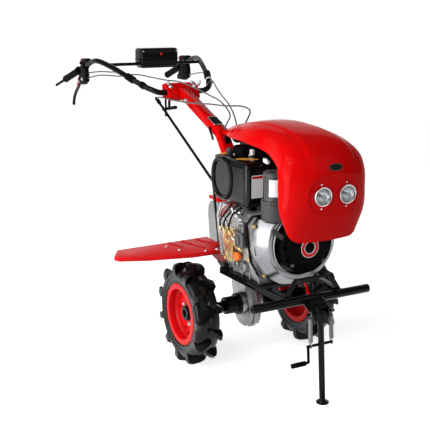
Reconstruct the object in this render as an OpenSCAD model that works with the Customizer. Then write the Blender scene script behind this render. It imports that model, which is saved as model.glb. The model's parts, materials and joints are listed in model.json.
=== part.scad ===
// Walk-behind diesel power tiller on two lugged drive wheels with a folding front stand.
// X points forward, Y to the operator's left, Z up; the ground is z = 0.

/* [Wheels] */
// Radius of the tyre over the lug tips
tyre_r = 200; // [190:1:215]
// Width of the tyre over the lugs
tyre_w = 105; // [96:1:112]
// Height of a lug above the carcass
lug_h = 24; // [14:1:28]
// Lugs on each half of the tread
lug_count = 11; // [8:1:12]
// Thickness of a lug along the tread
lug_t = 26; // [18:1:28]
// Distance between the two tyre centres
track = 525; // [500:1:560]
// Radius of the rim flange
rim_flange_r = 121; // [116:1:124]
// Radius of the drive sleeve that carries a wheel
sleeve_r = 21; // [18:1:24]
// Radius of the bore in the outer end of a hub
hub_bore_r = 11; // [9:0.5:13]

/* [Gearbox] */
// Half width of the gear case
case_half_w = 26; // [22:1:32]
// Depth of the gear case below the axle
case_r = 94; // [86:1:98]
// Radius of the black bearing housing on the axle
flange_r = 35; // [32:1:42]
// Width of the bearing housing
flange_w = 62; // [50:1:70]

/* [Engine] */
// Height of the underside of the engine above the ground
base_z = 386; // [380:1:396]
// Height of the crank axis
crank_z = 551; // [545:1:556]
// Rear face of the crankcase
case_rear_x = 20; // [10:1:30]
// Length of the crankcase
case_len = 280; // [270:1:290]
// Height of the crankcase
case_h = 250; // [246:1:256]
// Depth of the fan shroud
shroud_len = 82; // [74:1:90]
// Radius of the starter cover
recoil_r = 103; // [96:1:108]

/* [Tank] */
// Length of the fuel tank
tank_l = 258; // [246:1:266]
// Width of the fuel tank
tank_w = 300; // [270:1:310]
// Height of the fuel tank
tank_h = 163; // [150:1:170]
// Height of the tank brackets
tank_gap = 20; // [16:1:26]
// Radius of the fuel cap
cap_r = 38; // [32:1:42]

/* [Frame] */
// Distance from the mid-plane to the outer face of a frame rail at the bumper
rail_y = 120; // [116:1:128]
// Leg length of the angle rails
rail_leg = 25; // [22:1:32]
// Thickness of the angle rails
rail_t = 6; // [5:1:8]
// Radius of the bumper tube
bumper_r = 16; // [14:1:18]
// Half length of the bumper tube
bumper_half = 244; // [225:1:260]
// Distance from the axle to the bumper
bumper_x = 452; // [445:1:465]

/* [Stand] */
// Distance from the axle to the stand pivot
pivot_x = 508; // [504:1:516]
// Height of the stand pivot
pivot_z = 330; // [324:1:334]
// Distance that the foot stands ahead of the pivot
foot_lead = 32; // [20:1:45]
// Radius of the leg tube
leg_r = 11; // [9:1:13]
// Radius of the pivot pin
pin_r = 6; // [5:0.5:7]

/* [Handle] */
// Half distance between the grips at their ends
grip_half = 285; // [270:1:300]
// Radius of the handle tubes
handle_r = 12.5; // [11:0.5:13.5]
// Width of the steering column
column_w = 46; // [42:1:52]
// Depth of the steering column
column_d = 36; // [32:1:40]

/* [Fenders] */
// Height of the fender plate
fender_z = 452; // [448:1:475]
// Front edge of the fender plate at its inner end, ahead of the axle
fender_front = 52; // [44:1:60]
// Outer edge of the fender from the mid-plane
fender_out = 550; // [530:1:565]
// Sheet thickness of the fenders
fender_t = 4; // [3:0.5:5]

/* [Hood] */
// Sheet thickness of the hood
hood_t = 4; // [3:0.5:6]
// Half width of the hood at its widest place
hood_half_w = 170; // [164:1:178]
// Radius of a headlight
lamp_r = 32; // [26:1:34]
// Distance of a headlight from the mid-plane
lamp_y = 49; // [44:1:54]

/* [Hidden] */
$fn = 64;
RED = [0.78, 0.05, 0.07];
BLACK = [0.06, 0.06, 0.06];
GREY = [0.66, 0.67, 0.68];

// Small gaps: between curved faces that touch, and of a shaft in its bearing
touch = 0.3;
run = 0.05;

nose_x = 569;
lamp_z = 763;
case_front_x = case_rear_x + case_len;
case_top_z = base_z + case_h;
case_hw = 150;
tank_z = case_top_z + tank_gap;
cylinder_x = case_front_x - 60;
tank_x = cylinder_x - 7 - tank_l;
pad_x = case_front_x - 188;
pad_y = case_hw + 2;
can_x = case_front_x + 45;
can_y = -99;
can_z = case_top_z + 4;
muffler_y = tank_w / 2 + 47;
can_r = 45;
housing_top_z = 590;
housing_low_z = 380;
column_x = -178;
head_x = -618;
head_z = 988;
head_low = 962;
rod_len = 150;
boss_half = 46;
wheel_y = track / 2;

// Rows of a handle tube from the clamp to the grip: x, sideways share of the grip distance, z
handle_rows = [[-615, 0.4, 991], [-622, 0.47, 999], [-650, 0.55, 1011], [-700, 0.625, 1029],
    [-775, 0.71, 1054], [-860, 0.795, 1081], [-935, 0.87, 1100], [-990, 0.91, 1107], [-1040, 0.923, 1101]];
grip_foot = [-1105, 0.9366 * grip_half, 1080.8];
grip_tip = [-1400, grip_half, 990];
grip_lead = 21;
grip_len = norm(grip_tip - grip_foot);
grip_dir = (grip_tip - grip_foot) / grip_len;

// Point on the straight end of a handle tube, by its distance from the bend
function on_grip(t) = grip_foot + grip_dir * t;

handle_path = concat([for (y = [0.5, 38, 76, 94]) [head_x, y, head_z]],
    [for (r = handle_rows) [r[0], r[1] * grip_half, r[2]]], [on_grip(-grip_lead)]);
handle_line = concat(curve(handle_path, 5), [grip_tip]);

// The cross tube meets the handle tubes here
cross_at = handle_line[48];
crossbar_x = cross_at[0];
crossbar_z = cross_at[2];
crossbar_r = 7.5;

// The origin lies midway between the lamp fronts and the end of the rod in the right grip
rod_r = 7;
rod_end_x = on_grip(grip_len + rod_len)[0] - rod_r * sqrt(1 - pow(grip_dir[0], 2));
axle_x = -(nose_x + 2 + rod_end_x) / 2;

// Centre line of the steering column in X and Z
column_line = [[column_x, housing_top_z], [column_x, 790], [-234, 857], [-600, 990]];

// Outline of a band of half width h along a bent line, with mitred corners
function side_of(p, i, h) =
    let (a = p[max(i - 1, 0)], b = p[i], c = p[min(i + 1, len(p) - 1)],
        u = i == 0 ? unit(c - b) : unit(b - a), v = i == len(p) - 1 ? u : unit(c - b),
        m = unit([-(u[1] + v[1]), u[0] + v[0]]))
    b + m * h / (m * [-u[1], u[0]]);
function ribbon(p, h) = concat([for (i = [0:len(p) - 1]) side_of(p, i, -h)],
    [for (i = [len(p) - 1:-1:0]) side_of(p, i, h)]);

// Points of a rounded rectangle centred on the origin
function rounded(w, h, r, n = 5) = [for (c = [0:3]) for (k = [0:n])
    let (a = c * 90 + k * 90 / n, sx = (c == 0 || c == 3) ? 1 : -1, sy = c < 2 ? 1 : -1)
    [sx * (w / 2 - r) + r * cos(a), sy * (h / 2 - r) + r * sin(a)]];

function oval(w, h, n = 40) = [for (k = [0:n - 1]) [w / 2 * cos(k * 360 / n), h / 2 * sin(k * 360 / n)]];

// Smooth curve through the control points
function curve_at(p, i, t) =
    let (a = p[max(i - 1, 0)], b = p[i], c = p[i + 1], d = p[min(i + 2, len(p) - 1)])
    0.5 * (2 * b + (c - a) * t + (2 * a - 5 * b + 4 * c - d) * t * t
        + (3 * b - a - 3 * c + d) * t * t * t);
function curve(p, n) = concat([for (i = [0:len(p) - 2]) for (k = [0:n - 1]) curve_at(p, i, k / n)],
    [p[len(p) - 1]]);
function unit(v) = v / norm(v);

// Round bar swept along a path
module swept(path, r, sides = 8, up = [0, 0, 1]) {
    last = len(path) - 1;
    rings = [for (i = [0:last])
        let (t = unit(path[min(i + 1, last)] - path[max(i - 1, 0)]),
            u = unit(cross(t, up)), v = cross(u, t))
        for (k = [0:sides - 1])
            path[i] + r * (cos(k * 360 / sides) * u + sin(k * 360 / sides) * v)];
    faces = concat(
        [for (i = [0:last - 1]) for (k = [0:sides - 1]) let (m = (k + 1) % sides)
            [i * sides + k, (i + 1) * sides + k, (i + 1) * sides + m]],
        [for (i = [0:last - 1]) for (k = [0:sides - 1]) let (m = (k + 1) % sides)
            [i * sides + k, (i + 1) * sides + m, i * sides + m]],
        [[for (k = [0:sides - 1]) k]],
        [[for (k = [sides - 1:-1:0]) last * sides + k]]);
    polyhedron(rings, faces);
}

// Straight round bar between two points
module bar(a, b, r) {
    d = b - a;
    translate(a)
        rotate([0, acos(d[2] / norm(d)), atan2(d[1], d[0])])
            cylinder(r = r, h = norm(d));
}

// Cylinder along Y, centred at y
module across(x, y, z, r, w) {
    translate([x, y, z])
        rotate([90, 0, 0])
            cylinder(r = r, h = w, center = true);
}

// Cylinder along X from x
module along(x, y, z, r, l) {
    translate([x, y, z])
        rotate([0, 90, 0])
            cylinder(r = r, h = l);
}

// Side profile given in X and Z, extruded across the machine
module profile(points, w, y = 0) {
    translate([0, y + w / 2, 0])
        rotate([90, 0, 0])
            linear_extrude(w)
                polygon(points);
}

// Cross section given in Y and Z, extruded forward from x
module section(points, x, l) {
    translate([x, 0, 0])
        rotate([90, 0, 90])
            linear_extrude(l)
                polygon(points);
}

// The drive axle lies at x = 0 of the modules below
module at_axle() {
    translate([axle_x, 0, 0])
        children();
}

module both_sides() {
    children();
    mirror([0, 1, 0])
        children();
}

// Gear case from the clutch down to the drive axle, with its split flange and cover
module gearbox() {
    low = tyre_r - case_r;
    outline = [[25, housing_low_z], [33, 262], [64, 178], [58, low + 34], [44, low + 12], [22, low], [-22, low],
        [-46, low + 12], [-62, low + 36], [-74, 190], [-90, 262], [-110, housing_low_z]];
    at_axle()
        color(GREY)
            difference() {
                union() {
                    profile(outline, 2 * case_half_w);
                    profile([for (q = outline) [q[0] * 1.1, q[1] > 300 ? q[1] : q[1] - 5]], 14);
                    across(0, 0, tyre_r, flange_r + 11, 2 * boss_half);
                    across(-52, 0, 312, 32, 2 * case_half_w + 12);
                    across(2, 0, 300, 20, 2 * case_half_w + 10);
                }
                across(0, 0, tyre_r, sleeve_r + 6, 200);
            }
}

// Clutch housing between the engine and the gear case
module clutch_housing() {
    at_axle()
        color(GREY)
            union() {
                profile([[-198, housing_low_z], [-222, housing_low_z + 50], [-235, 520], [-231, 558], [-214, 580],
                    [-188, housing_top_z], [-60, housing_top_z], [-60, housing_low_z]], 124);
                along(-61, 0, crank_z, 95, 70);
                along(8, 0, crank_z, 102, case_rear_x - 8);
            }
}

// Black bearing housings on both ends of the gear case
module axle_flanges() {
    at_axle()
        color(BLACK)
            both_sides()
                difference() {
                    union() {
                        across(0, -boss_half - 6, tyre_r, flange_r + 8, 12);
                        across(0, -boss_half - flange_w / 2, tyre_r, flange_r, flange_w);
                    }
                    across(0, -boss_half - flange_w / 2, tyre_r, sleeve_r + run, 120);
                }
}

// Crankcase casting with sloping flanks, ribs and side covers
module crankcase() {
    flank = [[-118, base_z], [118, base_z], [140, base_z + 95], [case_hw, base_z + 205],
        [case_hw - 14, case_top_z], [-case_hw + 14, case_top_z], [-case_hw, base_z + 205],
        [-140, base_z + 95]];
    at_axle()
        color(GREY)
            union() {
                section(flank, case_rear_x + 14, case_len - 28);
                section([for (p = flank) [p[0] * 1.06, max(base_z, p[1])]], case_front_x - 14, 14);
                section([for (p = flank) [p[0] * 1.04, max(base_z, p[1])]], case_rear_x, 14);
                for (k = [0:3])
                    translate([case_rear_x + 50 + k * (case_len - 124) / 3, -128, base_z])
                        cube([8, 256, 52]);
                translate([pad_x, -pad_y, 466])
                    cube([172, 40, 126]);
                across(case_rear_x + 52, -case_hw + 10, 556, 36, 34);
                across(case_rear_x + 52, -case_hw + 10, 556, 24, 44);
            }
}

// Finned cylinder and head ahead of the tank, with the rocker cover on top
module cylinder_head() {
    x0 = cylinder_x;
    at_axle()
        color(GREY)
            union() {
                translate([x0, -34, case_top_z])
                    cube([56, 150, 120]);
                for (k = [0:6])
                    translate([x0 - 4, -42, case_top_z + 12 + k * 15])
                        cube([63, 166, 6]);
                translate([x0 + 6, -26, case_top_z + 120])
                    cube([44, 134, 30]);
            }
}

// Fan shroud of light metal: wide flank at the flange, round mouth at the front
module fan_shroud() {
    flank = [[-128, base_z + 31], [128, base_z + 31], [163, base_z + 95], [182, base_z + 232],
        [158, case_top_z + 10], [-158, case_top_z + 10], [-182, base_z + 232], [-163, base_z + 95]];
    at_axle()
        color(GREY)
            difference() {
                union() {
                    section(flank, case_front_x, 22);
                    intersection() {
                        translate([case_front_x, 0, crank_z])
                            rotate([0, 90, 0])
                                rotate_extrude()
                                    polygon([[0, 10], [174, 10], [172, 26], [166, 42], [156, 58], [147, 70],
                                        [142, shroud_len - 4], [137, shroud_len], [0, shroud_len]]);
                        section([[-200, base_z], [200, base_z], [200, 800], [-200, 800]], case_front_x, 200);
                    }
                }
                along(case_front_x + 40, 0, crank_z, 119, 100);
                translate([can_x - can_r - 5, can_y - can_r - 5, can_z])
                    cube([2 * can_r + 10, 2 * can_r + 10, 100]);
            }
}

// Starter cover with its slotted rim and raised centre
module recoil_starter() {
    at_axle()
        color(BLACK)
            difference() {
                union() {
                    along(case_front_x + 40, 0, crank_z, recoil_r - 6, 60);
                    along(case_front_x + 95, 0, crank_z, recoil_r, 18);
                    along(case_front_x + 112, 0, crank_z, 82, 12);
                    along(case_front_x + 122, 0, crank_z, 44, 7);
                }
                for (k = [0:11])
                    translate([case_front_x + 100, 0, crank_z])
                        rotate([k * 30, 0, 0])
                            translate([0, -4, 86])
                                cube([20, 8, 12]);
            }
}

// Rounded fuel tank on four feet, with an oval bead on its right side
module fuel_tank() {
    at_axle()
        color(BLACK)
            union() {
                translate([tank_x + tank_l / 2, 0, tank_z + tank_h / 2])
                    intersection() {
                        translate([0, 0, -tank_h / 2])
                            linear_extrude(tank_h)
                                polygon(rounded(tank_l, tank_w, 26));
                        rotate([90, 0, 0])
                            translate([0, 0, -tank_w / 2])
                                linear_extrude(tank_w)
                                    polygon(rounded(tank_l, tank_h, 22));
                        rotate([90, 0, 90])
                            translate([0, 0, -tank_l / 2])
                                linear_extrude(tank_l)
                                    polygon(rounded(tank_w, tank_h, 22));
                    }
                for (x = [tank_x + 85, tank_x + tank_l - 53]) for (y = [-90, 90])
                    translate([x - 12, y - 12, case_top_z])
                        cube([24, 24, tank_gap + 4]);
                translate([tank_x + 81, -tank_w / 2 + 14, tank_z + tank_h / 2 + 1])
                    rotate([90, 0, 0])
                        linear_extrude(18)
                            difference() {
                                polygon(oval(150, tank_h - 8));
                                polygon(oval(134, tank_h - 24));
                            }
            }
}

// Fluted filler cap on its neck
module fuel_cap() {
    at_axle()
        color(BLACK)
            translate([tank_x + 78, -tank_w / 2 + 88, tank_z + tank_h])
                difference() {
                    union() {
                        cylinder(r = cap_r - 8, h = 8);
                        translate([0, 0, 8])
                            cylinder(r = cap_r, h = 22);
                        translate([0, 0, 30])
                            cylinder(r1 = cap_r, r2 = cap_r - 4, h = 4);
                    }
                    for (k = [0:17])
                        rotate([0, 0, k * 20])
                            translate([cap_r + 1.5, 0, 12])
                                cylinder(r = 3, h = 30);
                }
}

// Upright air cleaner can beside the head
module air_cleaner() {
    at_axle()
        color(BLACK)
            translate([can_x, can_y, can_z])
                union() {
                    cylinder(r = can_r, h = 62);
                    translate([0, 0, 62])
                        cylinder(r = can_r + 2, h = 8);
                    translate([0, 0, 70])
                        cylinder(r = can_r - 8, h = 90);
                }
}

// Muffler on the left side of the head with its outlet
module muffler() {
    x = case_front_x - 75;
    z = case_top_z + 54;
    at_axle()
        color([0.35, 0.34, 0.33])
            union() {
                translate([x, muffler_y, z])
                    rotate([0, 90, 0])
                        linear_extrude(150, center = true)
                            polygon(rounded(110, 74, 30));
                along(x + 74, muffler_y, z, 14, 40);
                translate([x + 43, 124, z + 15])
                    rotate([-90, 0, 0])
                        cylinder(r = 15, h = muffler_y - 157);
            }
}

// Injection pump on the right flank of the crankcase
module injection_pump() {
    x = case_front_x - 78;
    y = -pad_y - 18;
    at_axle()
        color([0.45, 0.45, 0.46])
            translate([x, 0, 0])
                union() {
                    profile([[0, 524], [52, 524], [58, 534], [58, 572], [48, 580], [0, 580]], 36, y);
                    translate([36, y, 580])
                        cylinder(r = 13, h = 24);
                    translate([36, y, 604])
                        cylinder(r = 8, h = 12);
                    translate([12, y, 580])
                        cylinder(r = 8, h = 22);
                    across(24, y - 20, 550, 17, 6);
                }
}

// Zinc plated speed control plate
module speed_control() {
    x = case_front_x - 179;
    y = -pad_y - 29;
    at_axle()
        color([0.78, 0.62, 0.3])
            translate([x, 0, 0])
                union() {
                    for (z = [480, 556])
                        translate([23, y + 1, z])
                            cube([42, 28, 5]);
                    difference() {
                        profile([[20, 446], [73, 452], [79, 527], [93, 531], [93, 586], [0, 572], [3, 520],
                            [17, 500]], 4, y);
                        across(39, y, 535, 8, 20);
                        across(47, y, 470, 6, 20);
                    }
                    across(69, y - 5, 556, 12, 8);
                }
}

module oil_plug() {
    at_axle()
        color([0.85, 0.3, 0.08])
            translate([case_front_x - 88, -pad_y, 476])
                rotate([90, 0, 0])
                    union() {
                        cylinder(r = 10, h = 10);
                        translate([0, 0, 10])
                            cylinder(r = 16, h = 16);
                    }
}

// Angle iron rails below the engine, running forward onto the bumper
module frame_rails() {
    x0 = 48;
    at_axle()
        color(BLACK)
            difference() {
                union() {
                    both_sides() {
                        translate([0, 0, base_z - rail_t])
                            linear_extrude(rail_t)
                                polygon([[x0, -rail_at(x0)], [bumper_x + 14, -rail_at(bumper_x + 14)],
                                    [bumper_x + 14, rail_leg - rail_at(bumper_x + 14)], [x0, rail_leg - rail_at(x0)]]);
                        translate([0, 0, base_z - rail_leg])
                            linear_extrude(rail_leg)
                                polygon([[x0, -rail_at(x0)], [bumper_x - 4, -rail_at(bumper_x - 4)],
                                    [bumper_x - 4, rail_t - rail_at(bumper_x - 4)], [x0, rail_t - rail_at(x0)]]);
                    }
                    for (x = [56, 286])
                        translate([x, -rail_at(x) + 4, base_z - rail_t])
                            cube([30, 2 * rail_at(x) - 8, rail_t]);
                    translate([290, -rail_at(290) + 4, base_z - rail_leg])
                        cube([rail_t, 2 * rail_at(290) - 8, rail_leg]);
                }
                across(bumper_x, 0, bumper_z(), bumper_r + touch, 600);
            }
}

// Distance of a rail's outer face from the mid-plane; the rails spread towards the rear
function rail_at(x) = rail_y + 0.0885 * (bumper_x - x);

function bumper_z() = base_z - rail_t - bumper_r - touch;

// Bumper tube with closed ends
module front_bumper() {
    at_axle()
        color(BLACK)
            union() {
                across(bumper_x, 0, bumper_z(), bumper_r, 2 * bumper_half);
                across(bumper_x, 0, bumper_z(), 6, 2 * bumper_half + 12);
            }
}

// Flat guard ahead of the fan shroud, standing on the rails
module guard_hoop() {
    at_axle()
        color(BLACK)
            translate([bumper_x - 2, 0, 0])
                rotate([90, 0, 90])
                    linear_extrude(6)
                        polygon([[-rail_y, base_z], [-96, base_z], [-66, base_z + 50], [66, base_z + 50],
                            [96, base_z], [rail_y, base_z], [78, base_z + 61], [-78, base_z + 61]]);
}

// Two cheeks below the bumper that hold the stand's pin
module stand_bracket() {
    zb = bumper_z();
    cheek = [[bumper_x - 14, zb], [bumper_x, zb + 4], [bumper_x + 30, zb + 12], [pivot_x + 16, pivot_z + 24],
        [pivot_x + 20, pivot_z - 12], [pivot_x - 12, pivot_z - 20], [bumper_x - 14, zb - 26]];
    at_axle()
        color(BLACK)
            union() {
                difference() {
                    union() {
                        profile(cheek, 5, -22.5);
                        profile(cheek, 5, 22.5);
                        profile([[bumper_x + 18, zb + 6], [bumper_x + 30, zb + 12], [pivot_x + 16, pivot_z + 24],
                            [pivot_x + 13, pivot_z + 20]], 50);
                    }
                    across(bumper_x, 0, zb, bumper_r + touch, 200);
                }
                across(pivot_x, 0, pivot_z, pin_r, 112);
            }
}

// Folding leg: flat sided head on the pin, round tube and foot
module stand_leg() {
    lean = atan2(foot_lead, pivot_z);
    head_h = 36;
    foot_r = 23;
    at_axle()
        color(BLACK)
            union() {
                translate([pivot_x, 0, pivot_z])
                    rotate([0, -lean, 0])
                        difference() {
                            union() {
                                translate([-16, -19, -head_h])
                                    cube([32, 38, head_h]);
                                across(0, 0, 0, 16, 38);
                                translate([0, 0, 2.5 - norm([foot_lead, pivot_z])])
                                    cylinder(r = leg_r, h = norm([foot_lead, pivot_z]) - head_h + 6);
                            }
                            across(0, 0, 0, pin_r + run, 80);
                            across(0, 0, -114, 5 + run, 80);
                        }
                translate([pivot_x + foot_lead, 0, 0])
                    cylinder(r = foot_r, h = 4);
                translate([pivot_x + foot_lead, 0, 3])
                    cylinder(r1 = foot_r - 4, r2 = leg_r + 2, h = 7);
            }
}

// Pedal rod through the leg, cranked to a rubber covered tread
module stand_pedal() {
    lean = atan2(foot_lead, pivot_z);
    at_axle()
        color(BLACK)
            translate([pivot_x, 0, pivot_z])
                rotate([0, -lean, 0])
                    union() {
                        across(0, -3, -114, 5, 104);
                        translate([0, -55, -172])
                            cylinder(r = 5, h = 58);
                        across(0, -55, -114, 5, 10);
                        across(0, -86, -172, 5, 62);
                        across(0, -96, -172, 9, 56);
                    }
}

// Pair of tension springs between the pin and the pedal rod
module stand_springs() {
    lean = atan2(foot_lead, pivot_z);
    at_axle()
        color([0.6, 0.6, 0.6])
            translate([pivot_x, 0, pivot_z])
                rotate([0, -lean, 0])
                    for (y = [-44, 44])
                        difference() {
                            union() {
                                translate([0, y, -100])
                                    cylinder(r = 6, h = 86);
                                across(0, y, 0, 11, 4);
                                across(0, y, -114, 10, 4);
                                translate([-2, y - 2, -106])
                                    cube([4, 4, 100]);
                            }
                            across(0, y, 0, pin_r + run, 20);
                            across(0, y, -114, 5 + touch, 20);
                        }
}

// Flat sheet fenders with turned down edges
module fenders() {
    y0 = 118;
    front = [[fender_front, -160], [fender_front, -270], [12, -fender_out + 110], [-28, -fender_out + 12]];
    end = [[-50, -fender_out], [-121, -fender_out + 40]];
    at_axle()
        color(RED)
            both_sides()
                union() {
                    translate([0, 0, fender_z])
                        linear_extrude(fender_t)
                            polygon(concat([[-134, -y0], [8, -y0], [8, -160]], front, end));
                    translate([-2, 2, fender_z - 12])
                        linear_extrude(13)
                            polygon(ribbon(concat(front, [end[0]]), 2));
                    translate([1, 3, fender_z - 12])
                        linear_extrude(13)
                            polygon(ribbon(end, 2));
                    for (r = [[-119, -298, 76], [-121, -241, 130], [-121, -178, 122]])
                        translate([r[0], r[1], fender_z + fender_t - 1])
                            rotate([0, 0, 18])
                                cube([r[2], 10, 4]);
                    translate([-130, -y0 - 10, 420])
                        cube([100, 10, fender_z - 420 + 2]);
                    translate([-130, -y0 - 2, 420])
                        cube([22, y0 - 62 + 2, 10]);
                }
}

// Red steering column: foot plate, upright leg and sloping beam
module column() {
    at_axle()
        color(RED)
            union() {
                translate([column_x - 55, -60, housing_top_z])
                    cube([110, 120, 12]);
                profile(ribbon(column_line, column_d / 2), column_w);
            }
}

// Folded clamp box that holds the handle tubes on the column
module handle_head() {
    at_axle()
        color(RED)
            difference() {
                profile([[-658, head_low], [-606, head_low], [-592, 953], [-580, 966], [-602, 1008], [-634, 1027],
                    [-664, 1018]], 150);
                across(head_x, 0, head_z, handle_r + touch, 200);
                profile(ribbon(column_line, column_d / 2), column_w);
            }
}

module handle_tube() {
    swept(handle_line, handle_r, 16);
}

module handlebar_left() {
    at_axle()
        color(BLACK)
            handle_tube();
}

module handlebar_right() {
    at_axle()
        color(BLACK)
            mirror([0, 1, 0])
                handle_tube();
}

// Rubber grips over the ends of the handle tubes
module grips() {
    at_axle()
        color([0.08, 0.08, 0.08])
            union() {
                both_sides()
                    difference() {
                        bar(on_grip(112), on_grip(grip_len + 6), handle_r + 4.5);
                        bar(on_grip(100), on_grip(grip_len + 0.5), handle_r + touch);
                    }
                mirror([0, 1, 0])
                    bar(on_grip(grip_len + 4), on_grip(grip_len + rod_len), rod_r);
            }
}

// Tube between the handles
module crossbar() {
    d = unit(handle_line[49] - handle_line[47]);
    at_axle()
        color(BLACK)
            difference() {
                across(crossbar_x, 0, crossbar_z, crossbar_r, 2 * cross_at[1]);
                both_sides()
                    bar(cross_at - d * 40, cross_at + d * 40, handle_r + 2 * touch);
            }
}

// Control box clamped on the cross tube
module control_box() {
    at_axle()
        color(BLACK)
            difference() {
                translate([crossbar_x + 17, 0, crossbar_z + 30])
                    intersection() {
                        rotate([90, 0, 0])
                            linear_extrude(190, center = true)
                                polygon(rounded(84, 88, 12));
                        translate([0, 0, -50])
                            linear_extrude(100)
                                polygon(rounded(84, 190, 12));
                    }
                across(crossbar_x, 0, crossbar_z, crossbar_r + touch, 300);
            }
}

// Lever clamps below the handle tubes with the switch housings on top
module lever_brackets() {
    y = on_grip(60)[1];
    at_axle()
        color(BLACK)
            both_sides()
                difference() {
                    union() {
                        bar(on_grip(15), on_grip(60), handle_r + 5);
                        profile([[-1112, 1078], [-1098, 1040], [-1100, 1005], [-1140, 985], [-1222, 985],
                            [-1226, 1000], [-1206, 1020], [-1206, 1049]], 18, y);
                        bar(pod_front, pod_rear, 12.5);
                    }
                    bar(on_grip(-2 * grip_lead), on_grip(130), handle_r + touch);
                }
}

// Ends of a switch housing
pod_front = [-1085, 0.9335 * grip_half, 1101];
pod_rear = [-1176, 0.9285 * grip_half, 1096];

// Curved hand lever that hangs from the right clamp
module levers() {
    line = curve([[-1192, 1004], [-1226, 976], [-1283, 937], [-1318, 900], [-1330, 866]], 4);
    at_axle()
        color(BLACK)
            difference() {
                profile(ribbon(line, 6.5), 12, -on_grip(60)[1]);
                translate([-1300, -400, 985])
                    cube([200, 400, 60]);
            }
}

// Red stop buttons at the rear of the switch housings
module buttons() {
    d = unit(pod_rear - pod_front);
    at_axle()
        color(RED)
            both_sides()
                union() {
                    bar(pod_rear, pod_rear + d * 9, 8);
                    bar(pod_rear + d * 8, pod_rear + d * 15, 10.5);
                }
}

// Cross handle below the head that locks the handle height
module clamp_lever() {
    at_axle()
        color(BLACK)
            union() {
                bar([-706, -50, 902], [-572, -50, 926], 8);
                bar([-640, -50, 913], [-640, -50, head_low], 6);
            }
}

// Rows of the hood along its mid-line: x, height, half width, drop of the edge, squareness
hood_rows = [[-200, 870, 20, 5, 2.2], [-109, 900, 56, 26, 2.2], [22, 933, 105, 48, 2.2],
    [182, 962, hood_half_w - 40, 70, 2.5], [331, 962, hood_half_w - 40, 80, 2.8],
    [442, 946, hood_half_w - 23, 88, 2.8], [521, 912, hood_half_w - 7, 92, 2.5],
    [563, 849, hood_half_w - 2, 90, 2.2], [nose_x - 1, 769, hood_half_w, 86, 2.2],
    [554, 683, hood_half_w - 3, 65, 2.2], [525, 598, hood_half_w - 38, 28, 2.2]];

// Bowed sheet hood: one shell that runs from the tail over the engine and down the front
module hood() {
    rows = curve(hood_rows, 3);
    last = len(rows) - 1;
    cols = 24;
    outer = [for (i = [0:last]) for (k = [0:cols]) hood_point(rows, i, k / cols, 0)];
    inner = [for (i = [0:last]) for (k = [0:cols]) hood_point(rows, i, k / cols, hood_t)];
    m = cols + 1;
    n = (last + 1) * m;
    rim = concat([for (k = [0:cols]) k], [for (i = [1:last]) i * m + cols],
        [for (k = [cols - 1:-1:0]) last * m + k], [for (i = [last - 1:-1:1]) i * m]);
    edge = len(rim);
    faces = concat(
        [for (i = [0:last - 1]) for (k = [0:cols - 1]) [i * m + k, i * m + k + 1, (i + 1) * m + k + 1]],
        [for (i = [0:last - 1]) for (k = [0:cols - 1]) [i * m + k, (i + 1) * m + k + 1, (i + 1) * m + k]],
        [for (i = [0:last - 1]) for (k = [0:cols - 1])
            [n + i * m + k, n + (i + 1) * m + k + 1, n + i * m + k + 1]],
        [for (i = [0:last - 1]) for (k = [0:cols - 1])
            [n + i * m + k, n + (i + 1) * m + k, n + (i + 1) * m + k + 1]],
        [for (e = [0:edge - 1]) let (a = rim[e], b = rim[(e + 1) % edge]) [a, n + a, n + b]],
        [for (e = [0:edge - 1]) let (a = rim[e], b = rim[(e + 1) % edge]) [a, n + b, b]]);
    at_axle()
        color(RED)
            difference() {
                polyhedron(concat(outer, inner), faces);
                for (y = [-lamp_y, lamp_y])
                    along(nose_x - 60, y, lamp_z, lamp_r + touch, 80);
            }
}

// One point of the hood sheet: row i, place s from 0 to 1 across it, depth t below the outside
function hood_point(rows, i, s, t) =
    let (last = len(rows) - 1, r = rows[i], a = rows[max(i - 1, 0)], b = rows[min(i + 1, last)],
        d = unit([b[0] - a[0], b[1] - a[1]]), nx = -d[1], nz = d[0],
        q = (s - 0.5) * 180, e = 2 / r[4],
        y = (r[2] - t) * sign(q) * pow(abs(sin(q)), e),
        g = t + (r[3] - t) * (1 - pow(max(cos(q), 0), e)))
    [r[0] - nx * g, y, r[1] - nz * g];

// Straps from the fan shroud up to the front of the hood, and the tab on the column
module hood_stay() {
    at_axle()
        color(BLACK)
            union() {
                both_sides()
                    translate([case_front_x + shroud_len, -50, 669])
                        cube([545.5 - case_front_x - shroud_len, 20, 6]);
                translate([-190, -10, 812])
                    cube([10, 20, 60]);
            }
}

module headlights() {
    at_axle()
        color([0.85, 0.87, 0.9])
            for (y = [-lamp_y, lamp_y])
                along(nose_x - 30, y, lamp_z, lamp_r, 32);
}

// Gear shift rod from the housing back to its knob below the handle
module shift_rod() {
    at_axle()
        color(BLACK)
            union() {
                bar([-150, -84, 680], [-730, -66, 940], 6);
                bar([-712, -66.6, 931.9], [-748, -65.4, 948.1], 9);
                bar([-95, -84, 430], [-150, -84, 688], 5);
                across(-95, -74, 430, 9, 24);
                translate([-640, -73, 879.5])
                    cube([6, 8, head_low - 879.5]);
            }
}

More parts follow.
